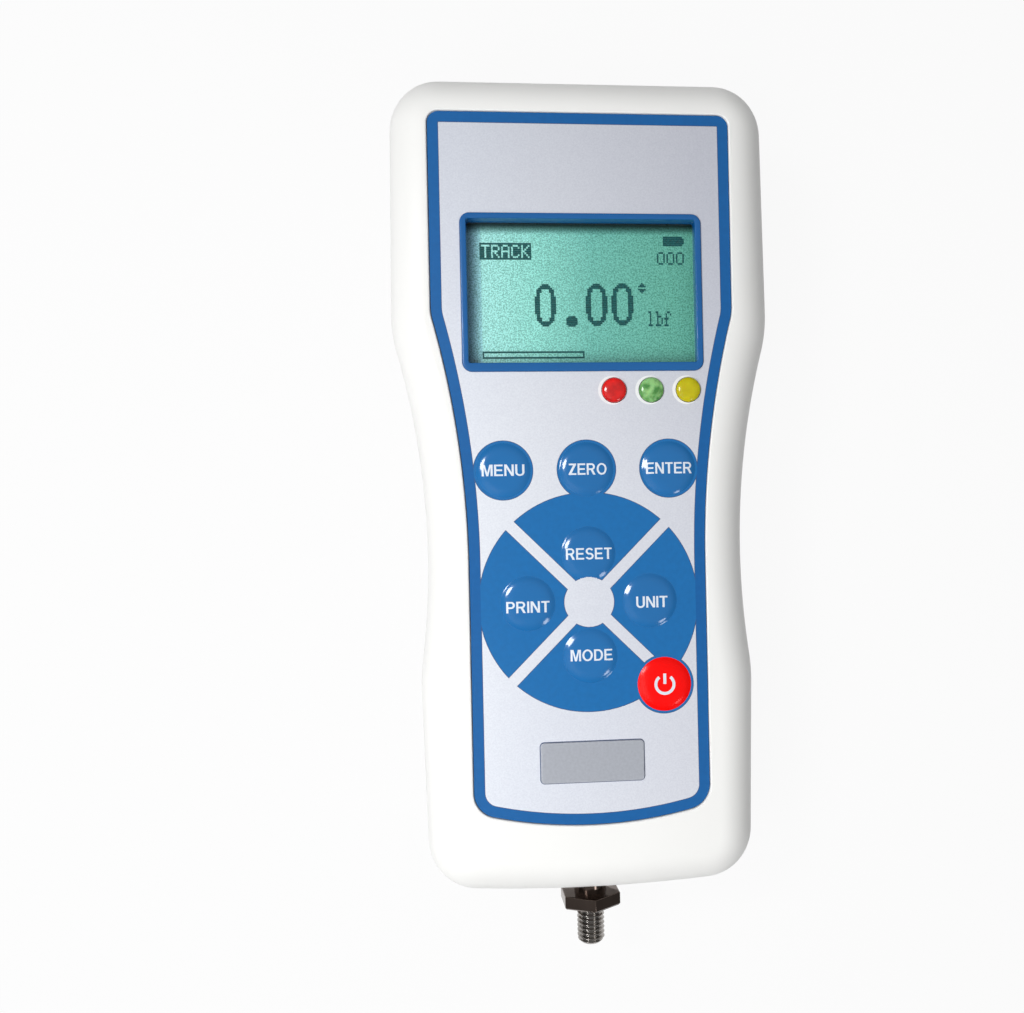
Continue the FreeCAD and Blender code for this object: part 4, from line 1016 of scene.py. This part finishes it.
UPRIGHT = slab(0, 0, STEM, 1)
LETTERS = {
    "D": (0.82, [
        UPRIGHT,
        slab(0, 1 - BAR, 0.4, 1),
        slab(0, 0, 0.4, BAR),
        bow((0.4, 0.5), (0.42, 0.5), -90, 90),
    ]),
    "E": (0.76, [UPRIGHT, slab(0, 0, 0.76, BAR), slab(0, 1 - BAR, 0.74, 1), slab(0, 0.43, 0.69, 0.43 + BAR)]),
    "I": (STEM, [UPRIGHT]),
    "M": (0.95, [
        slab(0, 0, 0.184, 1),
        slab(0.766, 0, 0.95, 1),
        polygon((0, 0.79), (0.184, 0.79), (0.385, 0), (0.56, 0), (0.27, 1), (0, 1)),
        polygon((0.95, 1), (0.68, 1), (0.39, 0), (0.565, 0), (0.766, 0.79), (0.95, 0.79)),
    ]),
    "N": (0.82, [UPRIGHT, slab(0.635, 0, 0.82, 1), polygon((0, 1), (0.61, 0), (0.82, 0), (0.21, 1))]),
    "O": (0.96, [bow((0.48, 0.5), (0.48, 0.515), 0, 180), bow((0.48, 0.5), (0.48, 0.515), 180, 360)]),
    "P": (0.76, [
        UPRIGHT,
        slab(0, 1 - BAR, 0.44, 1),
        slab(0, 0.38, 0.44, 0.38 + BAR),
        bow((0.44, 0.69), (0.32, 0.31), -90, 90),
    ]),
    "R": (0.84, [
        UPRIGHT,
        slab(0, 1 - BAR, 0.47, 1),
        slab(0, 0.41, 0.5, 0.41 + BAR),
        bow((0.47, 0.705), (0.32, 0.295), -90, 90),
        polygon((0.36, 0.45), (0.61, 0), (0.84, 0), (0.59, 0.45)),
    ]),
    "S": (0.78, [bow((0.39, 0.716), (0.36, 0.299), 20, 270), bow((0.39, 0.284), (0.39, 0.299), -160, 90)]),
    "T": (0.74, [slab(0, 1 - BAR, 0.74, 1), slab(0.27, 0, 0.47, 1)]),
    "U": (0.8, [slab(0, 0.33, STEM, 1), slab(0.6, 0.33, 0.8, 1), bow((0.4, 0.33), (0.4, 0.345), 180, 360)]),
    "Z": (0.74, [
        slab(0.03, 1 - BAR, 0.72, 1),
        slab(0, 0, 0.74, BAR),
        polygon((0, 0.1), (0.25, 0.1), (0.72, 0.9), (0.47, 0.9)),
    ]),
}


def flat_word(word, width):
    """Triangles of a word in bold capitals, centred and fitted to a width and the legends' height."""
    strokes = []
    reach = -LETTER_GAP
    for letter in word:
        letter_width, outlines = LETTERS[letter]
        for outline in outlines:
            strokes.append([point + Vector((reach + LETTER_GAP, 0)) for point in outline])
        reach += LETTER_GAP + letter_width
    fitted = []
    for stroke in strokes:
        fitted.append([Vector(((p.x / reach - 0.5) * width, (p.y - 0.5) * LEGEND_HEIGHT)) for p in stroke])
    found, regions = cut_regions(fitted)
    form = bmesh.new()
    vertices = [form.verts.new((point.x, point.y, 0)) for point in found]
    for triangle, origin in regions:
        if origin:
            form.faces.new([vertices[n] for n in triangle])
    form.normal_update()
    return form


# Key, word, width of the word and its shift from the key's centre
LEGENDS = [
    ("menu_key", "MENU", 8.55, (0.0, 0.0)),
    ("zero_key", "ZERO", 7.7, (0.2, 0.0)),
    ("enter_key", "ENTER", 9.4, (0.0, 0.0)),
    ("reset_key", "RESET", 9.3, (0.1, 0.0)),
    ("print_key", "PRINT", 8.7, (0.0, -0.67)),
    ("unit_key", "UNIT", 6.4, (0.3, -0.26)),
    ("mode_key", "MODE", 8.5, (0.2, 0.2)),
]
LEGEND_HEIGHT = 2.3
LEGEND_LIFT = 0.02
LEGEND_THICKNESS = 0.04
LONGEST_EDGE = 0.5
SPLIT_ROUNDS = 3
SYMBOL_OUTER = 2.15
SYMBOL_INNER = 1.55
SYMBOL_GAP = 38
SYMBOL_STEPS = 48
SYMBOL_BAR = (-0.3, 0.1, 0.3, 2.2)


def lay_on_key(name, form, key, shift=(0.0, 0.0)):
    """Lays flat triangles over a key's dome, gives them thickness and lets them ride the key."""
    for _ in range(SPLIT_ROUNDS):
        long_edges = [edge for edge in form.edges if edge.calc_length() > LONGEST_EDGE]
        if long_edges:
            bmesh.ops.subdivide_edges(form, edges=long_edges, cuts=1)
            bmesh.ops.triangulate(form, faces=form.faces)
    for face in form.faces:
        if face.normal.z < 0:
            face.normal_flip()
    form.verts.index_update()
    place = middle(key)
    centre = (place.x + shift[0], place.y + shift[1])
    points = []
    for vertex in form.verts:
        x, y = vertex.co.to_2d()
        height = panel_top_z + dome_height(math.hypot(x + shift[0], y + shift[1])) + LEGEND_LIFT
        points.append(Vector((x + centre[0], y + centre[1], height)))
    faces = [[vertex.index for vertex in face.verts] for face in form.faces]
    form.free()
    sheet = thick_sheet(name, points, faces, [0] * len(faces), LEGEND_THICKNESS, ["legend_white"])
    carry(sheet, key)


def make_power_symbol():
    """A ring with a gap at its top and a bar in the gap."""
    gap = math.radians(SYMBOL_GAP)
    form = bmesh.new()
    loops = []
    for n in range(SYMBOL_STEPS + 1):
        turn = math.pi / 2 + gap + (math.tau - 2 * gap) * n / SYMBOL_STEPS
        arm = Vector((math.cos(turn), math.sin(turn), 0))
        loops.append((form.verts.new(arm * SYMBOL_INNER), form.verts.new(arm * SYMBOL_OUTER)))
    for (a, b), (c, d) in zip(loops, loops[1:]):
        form.faces.new((a, b, d, c))
    form.faces.new([form.verts.new((x, y, 0)) for x, y in slab(*SYMBOL_BAR)])
    bmesh.ops.recalc_face_normals(form, faces=form.faces)
    bmesh.ops.triangulate(form, faces=form.faces)
    lay_on_key("power_symbol", form, "power_key")


def make_keys():
    for name in KEYS:
        if name == "power_key":
            make_key(name, "key_red")
        else:
            make_key(name, "key_blue")
    for key, word, width, shift in LEGENDS:
        lay_on_key(f"{key}_legend", flat_word(word, width), key, shift)
    make_power_symbol()


# Lamps
LAMP_CROWN = 0.8
LAMP_FLANGE = 2.8
LAMP_FLANGE_HEIGHT = 1.0
LAMP_STEPS = 16
LEAD_LENGTH = 4.0
LEAD_PITCH = 2.54
LEAD_HALF = 0.25
LEAD_ROOT = 0.2


def make_lamp(colour):
    name = f"{colour}_lamp"
    low, high = box_mm(name)
    place = middle(name)
    shoulder = high.z - LAMP_CROWN
    base = low.z + LEAD_LENGTH
    flange = base + LAMP_FLANGE_HEIGHT
    profile = [(0, base), (LAMP_FLANGE, base), (LAMP_FLANGE, flange)]
    profile += [(LAMP_RADIUS, flange), (LAMP_RADIUS, shoulder)]
    for n in range(1, LAMP_STEPS + 1):
        turn = math.pi / 2 * n / LAMP_STEPS
        profile.append((LAMP_RADIUS * math.cos(turn), shoulder + LAMP_CROWN * math.sin(turn)))
    profile[-1] = (0, high.z)
    bulb = lathe(f"{name}_bulb", profile, (place.x, place.y, 0), "Z", SMALL_STEPS)
    leads = []
    for side in (-1, 1):
        x = place.x + side * LEAD_PITCH / 2
        start = (x - LEAD_HALF, place.y - LEAD_HALF, low.z)
        leads.append(block("lead", start, (x + LEAD_HALF, place.y + LEAD_HALF, base + LEAD_ROOT)))
    lamp = join([bulb] + leads)
    stand_for(soften(wear(lamp, f"{colour}_resin"), LAMP_CREASE), name)


# Display
LIP_SIDE = 1.3
LIP_BELOW = 1.75
LIP_ABOVE = 1.2
OPENING_CORNER = 0.45
OPENING_ROUND = 0.18
FRAME_ROUND = 0.3
FRAME_STEP = 0.5
WINDOW_TOP = 33.5


def make_display_frame():
    low, high = frame_low, frame_high
    outer = rectangle_outline(low, high, FRAME_CORNER)
    opening_low = (low.x + LIP_SIDE, low.y + LIP_BELOW)
    inner = rectangle_outline(opening_low, (high.x - LIP_SIDE, high.y - LIP_ABOVE), OPENING_CORNER)
    rings = [ring(outer, FRAME_STEP, RECESS_FLOOR), ring(outer, 0, RECESS_FLOOR)]
    rings += [ring(outer, inset, high.z - drop) for inset, drop in reversed(rounded_steps(FRAME_ROUND))]
    rings += [ring(inner, -inset, high.z - drop) for inset, drop in rounded_steps(OPENING_ROUND)]
    rings += [ring(inner, 0, WINDOW_TOP), ring(outer, FRAME_STEP, WINDOW_TOP)]
    border = soften(wear(stack("screen_frame", rings, closed=True), "frame_blue"))
    stand_for(border, "display_frame")


SMALL_LETTERS = {
    "T": "11111 00100 00100 00100 00100 00100 00100",
    "R": "11110 10001 10001 11110 10100 10010 10001",
    "A": "01110 10001 10001 11111 10001 10001 10001",
    "C": "01110 10001 10000 10000 10000 10001 01110",
    "K": "10001 10010 10100 11000 10100 10010 10001",
    "0": "01110 10001 10001 10001 10001 10001 01110",
    "l": "01100 00100 00100 00100 00100 00100 01110",
    "b": "11000 01000 01110 01001 01001 01001 11110",
    "f": "00110 01001 01000 11100 01000 01000 11100",
}
ZERO_CELLS = (12, 24)
ZERO_OUTER = (5.9, 11.9)
ZERO_INNER = (3.3, 9.2)
ZERO_POWER = 2.3


def word_rows(word):
    """Rows of cells for a word in small letters with a blank column between them."""
    letters = [SMALL_LETTERS[letter].split() for letter in word]
    return ["0".join(cells) for cells in zip(*letters)]


def reversed_rows(rows):
    """The same word pale on a dark tag, with a margin all round."""
    margin = "1" * (len(rows[0]) + 2)
    swapped = str.maketrans("01", "10")
    return [margin] + [f"1{row.translate(swapped)}1" for row in rows] + [margin]


def in_oval(x, y, reach):
    return (x / reach[0]) ** ZERO_POWER + (y / reach[1]) ** ZERO_POWER <= 1


def big_zero_rows():
    """An upright oval ring of cells."""
    columns, rows = ZERO_CELLS
    lines = []
    for row in range(rows):
        y = abs(row - (rows - 1) / 2)
        cells = ""
        for column in range(columns):
            x = abs(column - (columns - 1) / 2)
            cells += "1" if in_oval(x, y, ZERO_OUTER) and not in_oval(x, y, ZERO_INNER) else "0"
        lines.append(cells)
    return lines


BATTERY_ROWS = ["1" * 11 + "0", "1" * 12, "1" * 12, "1" * 12, "1" * 11 + "0"]
ARROW_ROWS = ["00100", "01110", "11111", "00000", "11111", "01110", "00100"]
BAR_ROWS = ["1" * 58, "1" + "0" * 56 + "1", "1" + "0" * 56 + "1", "1" * 58]
DOT_ROWS = ["011110", "111111", "111111", "111111", "111111", "011110"]

# Rows of cells with the lowest and highest corner of their field
SCREEN_MARKS = [
    (reversed_rows(word_rows("TRACK")), (-20.77, 46.41), (-10.2, 49.87)),
    (BATTERY_ROWS, (17.16, 49.36), (21.59, 51.4)),
    (word_rows("000"), (15.84, 45.5), (21.54, 48.14)),
    (big_zero_rows(), (-9.69, 32.68), (-5.31, 41.43)),
    (DOT_ROWS, (-3.28, 32.63), (-0.94, 34.82)),
    (big_zero_rows(), (0.79, 32.79), (5.36, 41.53)),
    (big_zero_rows(), (6.13, 32.89), (10.75, 41.63)),
    (ARROW_ROWS, (11.77, 39.5), (13.4, 41.74)),
    (word_rows("lbf"), (13.5, 32.68), (18.64, 35.84)),
    (BAR_ROWS, (-20.57, 26.07), (0.38, 27.6)),
]
CELL_GAP = 0.06
CELL_LIFT = 0.01
CELL_TOP = 0.04


def make_screen_marks():
    """The dark cells of the display, as thin plates on the glass."""
    glass_top = box_mm("display_glass")[1].z
    vertices = []
    faces = []
    for rows, low, high in SCREEN_MARKS:
        wide = (high[0] - low[0]) / len(rows[0])
        tall = (high[1] - low[1]) / len(rows)
        for number, row in enumerate(rows):
            top = high[1] - number * tall
            bottom = top - tall * (1 - CELL_GAP)
            for run in re.finditer("1+", row):
                left = low[0] + run.start() * wide
                right = low[0] + run.end() * wide - wide * CELL_GAP
                base = len(vertices)
                for z in (glass_top + CELL_LIFT, glass_top + CELL_TOP):
                    vertices += [(left, bottom, z), (right, bottom, z), (right, top, z), (left, top, z)]
                faces.append(tuple(base + n for n in (3, 2, 1, 0)))
                faces.append(tuple(base + n for n in (4, 5, 6, 7)))
                for n in range(4):
                    m = (n + 1) % 4
                    faces.append((base + n, base + m, base + m + 4, base + n + 4))
    carry(wear(new_object("screen_marks", vertices, faces), "screen_dark"))


# Blank plate
PLATE_EDGE = 0.15
PLATE_INNER = 0.5


def make_plate():
    low, high = box_mm("rating_plate")
    outline = rectangle_outline(low, high, PLATE_CORNER)
    rings = [ring(outline, 0, low.z)]
    rings += [ring(outline, inset, high.z - drop) for inset, drop in reversed(rounded_steps(PLATE_EDGE, 3))]
    rings.append(ring(outline, PLATE_INNER, high.z))
    plate = soften(wear(stack("blank_plate", rings), "plate_grey"))
    stand_for(plate, "rating_plate")


# Measuring shaft
THREAD_PITCH = 1.0
THREAD_DEPTH = 0.55
THREAD_ROOT = 0.12
THREAD_FLANK = 0.74
THREAD_END = 0.5
TIP_CHAMFER = 0.75
STUD_RADIUS = 3.0
STUD_LENGTH = 8.6
STUD_ROOT = 0.5
STUD_ROWS = 14
STUD_STEPS = 72
HEX_SIDES = 6
HEX_STEP = 360 / HEX_SIDES
HEX_THICKNESS = 2.8
HEX_FLATS = 12.2
HEX_TURN = 36.0
HEX_EDGE = 0.22
HEX_CHAMFER = 0.35
NECK_RADIUS = 3.6
NECK_ROOT = 0.2
SPIGOT_RADIUS = 2.95
SPIGOT_LENGTH = 8.4
SPIGOT_CHAMFER = 0.4


def thread_radius(height, turn):
    """Radius of the threaded stud at a height from its tip and an angle."""
    phase = (height / THREAD_PITCH - turn / math.tau) % 1.0
    rise = min(max((abs(phase - 0.5) * 2 - THREAD_ROOT) / THREAD_FLANK, 0.0), 1.0)
    fade = min(max((STUD_LENGTH - height) / THREAD_END, 0.0), 1.0)
    cut_depth = THREAD_DEPTH * (1 - rise) * fade
    chamfer = max(TIP_CHAMFER - height, 0.0)
    return min(STUD_RADIUS - cut_depth, STUD_RADIUS - chamfer)


def make_stud(tip):
    rows = int(STUD_LENGTH * STUD_ROWS)
    rings = [[Vector((0, tip, split))] * STUD_STEPS]
    for row in range(rows + 1):
        height = STUD_LENGTH * row / rows
        loop = []
        for n in range(STUD_STEPS):
            turn = math.tau * n / STUD_STEPS
            radius = thread_radius(height, turn)
            loop.append(Vector((radius * math.cos(turn), tip + height, split + radius * math.sin(turn))))
        rings.append(loop)
    rings.append([Vector((0, tip + STUD_LENGTH + STUD_ROOT, split))] * STUD_STEPS)
    return soften(wear(stack("stud", rings), "stud_steel"), STUD_CREASE)


def make_hexagon(base):
    """The hexagon on the shaft, with a chamfer towards the stud and thin edges elsewhere."""
    corner = HEX_FLATS / math.sqrt(3)
    turns = [math.radians(HEX_STEP * n - HEX_TURN) for n in range(HEX_SIDES)]
    corners = [(corner * math.cos(t), corner * math.sin(t)) for t in turns]
    outline = rounded_outline(corners, {}, {n: HEX_EDGE for n in range(HEX_SIDES)})
    top = base + HEX_THICKNESS
    steps = [(HEX_CHAMFER, base), (0, base + HEX_CHAMFER)]
    steps += [(inset, top - drop) for inset, drop in reversed(rounded_steps(HEX_EDGE))]
    rings = []
    for inset, y in steps:
        rings.append([Vector((p.x, y, split + p.y)) for p in ring(outline, inset, 0)])
    return soften(wear(stack("hexagon", rings), "dark_chrome"), HEX_CREASE)


def make_shaft():
    low, high = box_mm("measuring_shaft")
    hex_base = low.y + STUD_LENGTH
    neck_start = hex_base + HEX_THICKNESS - NECK_ROOT
    shoulder = high.y - SPIGOT_LENGTH
    profile = [
        (0, neck_start), (NECK_RADIUS, neck_start), (NECK_RADIUS, shoulder), (SPIGOT_RADIUS, shoulder),
        (SPIGOT_RADIUS, high.y - SPIGOT_CHAMFER), (SPIGOT_RADIUS - SPIGOT_CHAMFER, high.y), (0, high.y),
    ]
    carry(make_stud(low.y), "shaft")
    carry(make_hexagon(hex_base), "shaft")
    neck = soften(wear(lathe("neck", profile, (0, 0, split), "Y", SMALL_STEPS), "dark_chrome"))
    stand_for(neck, "measuring_shaft", "shaft")


# Screws on the back
PAN_RADIUS = 2.7
PAN_CROWN = 1.2
PAN_HEIGHT = 2.0
PAN_STEPS = 8
SHANK_RADIUS = 1.4
POINT_HEIGHT = 0.8
POINT_RADIUS = 0.5
CROSS_REACH = 1.5
CROSS_HALF = 0.28
CROSS_DEPTH = 1.3


def make_case_screws():
    """Pan heads with a cross recess, standing for the screws in the part."""
    low, high = box_mm("case_screws")
    flat_top = low.z + PAN_HEIGHT
    profile = [(0, low.z)]
    for n in range(1, PAN_STEPS + 1):
        turn = math.pi / 2 * n / PAN_STEPS
        profile.append((PAN_RADIUS * math.sin(turn), low.z + PAN_CROWN * (1 - math.cos(turn))))
    profile += [(PAN_RADIUS, flat_top), (SHANK_RADIUS, flat_top), (SHANK_RADIUS, high.z - POINT_HEIGHT)]
    profile += [(POINT_RADIUS, high.z), (0, high.z)]
    heads = turned_at(CASE_POSTS, "case_screw", profile)
    for head, (x, y) in zip(heads, CASE_POSTS):
        for wide, deep in ((CROSS_REACH, CROSS_HALF), (CROSS_HALF, CROSS_REACH)):
            end = (x + wide, y + deep, low.z + CROSS_DEPTH)
            combine(head, block("slot", (x - wide, y - deep, low.z - 1), end))
    screws = soften(wear(join(heads), "screw_zinc"))
    stand_for(screws, "case_screws")


# Floor, light and camera
FLOOR_HALF = 1500
FLOOR_Z = -0.05
FLOOR_WHITE = 0.92
LOW_SKY = 0.16
HIGH_SKY = 0.4
SKY_START = 0.4
SKY_END = 0.95

# Place and aim in metres, diameter, power, seen in mirrors
LIGHTS = [
    ("soft_light", (-0.15, -0.13, 0.32), (0, 0, 0.03), 0.24, 0.75, False),
    ("key_light", (-0.23, 0.10, 0.38), (0, 0, 0.03), 0.12, 0.6, True),
    ("glint_light", (0.14, -0.20, 0.22), (0, -0.04, 0.03), 0.06, 0.05, True),
]

CAMERA_PLACE = Vector((-11.93, -11.89, 213.64))
CAMERA_RIGHT = Vector((0.99653, -0.02142, 0.08042))
CAMERA_UP = Vector((0.02121, 0.99977, 0.00341))
FOCAL_PIXELS = 879.87
FRAME_WIDTH = 1024
SENSOR_WIDTH = 36.0
SHIFT_X = -0.0859
SHIFT_Y = 0.0332
NEAR_CLIP = 0.01


def make_floor():
    corners = [(x, y, FLOOR_Z) for x, y in slab(-FLOOR_HALF, -FLOOR_HALF, FLOOR_HALF, FLOOR_HALF)]
    floor = new_object("floor", corners, [(0, 1, 2, 3)])
    finish = Finish("floor_white", 0.7)
    finish.tones(finish.noise(3.0, 1.0), srgb(214, 214, 215), 0.01)
    show_white(finish, FLOOR_WHITE)
    floor.data.materials.append(finish.material)


def show_white(finish, share):
    """Mixes plain white into what the camera, mirrors and clear pieces see of the floor."""
    path = finish.add("LightPath").node.outputs
    seen = finish.add("Math", {0: path["Is Camera Ray"], 1: path["Is Glossy Ray"]}, operation="MAXIMUM")
    seen = finish.add("Math", {0: seen, 1: path["Is Transmission Ray"]}, operation="MAXIMUM")
    scaled = finish.add("Math", {0: seen, 1: share}, operation="MULTIPLY")
    surface = finish.shader.outputs["BSDF"]
    mix = finish.add("MixShader", {"Fac": scaled, 1: surface, 2: finish.add("Emission")})
    finish.feed(finish.tree.nodes["Material Output"].inputs["Surface"], mix)


def make_world():
    """White to the eye; as a light, bright overhead and dim towards the horizon."""
    world = bpy.data.worlds.new("studio")
    bpy.context.scene.world = world
    world.use_nodes = True
    graph = Graph(world.node_tree)
    place = graph.add("TexCoord", output="Generated")
    inputs = {"Value": graph.add("SeparateXYZ", {"Vector": place}, "Z")}
    inputs.update({"From Min": SKY_START, "From Max": SKY_END, "To Min": LOW_SKY, "To Max": HIGH_SKY})
    sky = graph.add("MapRange", inputs, interpolation_type="SMOOTHSTEP")
    seen = graph.add("LightPath", output="Is Camera Ray")
    strength = graph.add("MapRange", {"Value": seen, "To Min": sky, "To Max": 1.0})
    background = graph.tree.nodes["Background"]
    graph.feed(background.inputs["Color"], PLAIN)
    graph.feed(background.inputs["Strength"], strength)


def add_light(name, place, aim, size, power, in_mirrors):
    light = bpy.data.lights.new(name, "AREA")
    light.shape = "DISK"
    light.size = size
    light.energy = power
    holder = bpy.data.objects.new(name, light)
    holder.location = place
    direction = Vector(aim) - Vector(place)
    holder.rotation_euler = direction.to_track_quat("-Z", "Y").to_euler()
    holder.visible_glossy = in_mirrors
    bpy.context.scene.collection.objects.link(holder)


def make_camera():
    camera = bpy.data.cameras.new("camera")
    camera.sensor_width = SENSOR_WIDTH
    camera.lens = camera.sensor_width * FOCAL_PIXELS / FRAME_WIDTH
    camera.shift_x = SHIFT_X
    camera.shift_y = SHIFT_Y
    camera.clip_start = NEAR_CLIP
    holder = bpy.data.objects.new("camera", camera)
    back = CAMERA_RIGHT.cross(CAMERA_UP)
    turn = Matrix((CAMERA_RIGHT, CAMERA_UP, back)).transposed()
    holder.matrix_world = Matrix.Translation(CAMERA_PLACE * MM) @ turn.to_4x4()
    bpy.context.scene.collection.objects.link(holder)
    bpy.context.scene.camera = holder


def build():
    casing = casing_outline()
    panel = panel_outline()
    dress_nodes()
    make_front_shell(casing, panel)
    make_rear_shell(casing)
    make_panel(panel)
    make_keys()
    for colour in LAMP_COLOURS:
        make_lamp(colour)
    make_display_frame()
    make_screen_marks()
    make_plate()
    make_shaft()
    make_case_screws()
    make_floor()
    make_world()
    for values in LIGHTS:
        add_light(*values)
    make_camera()
    bpy.context.scene.view_settings.view_transform = "Standard"


build()
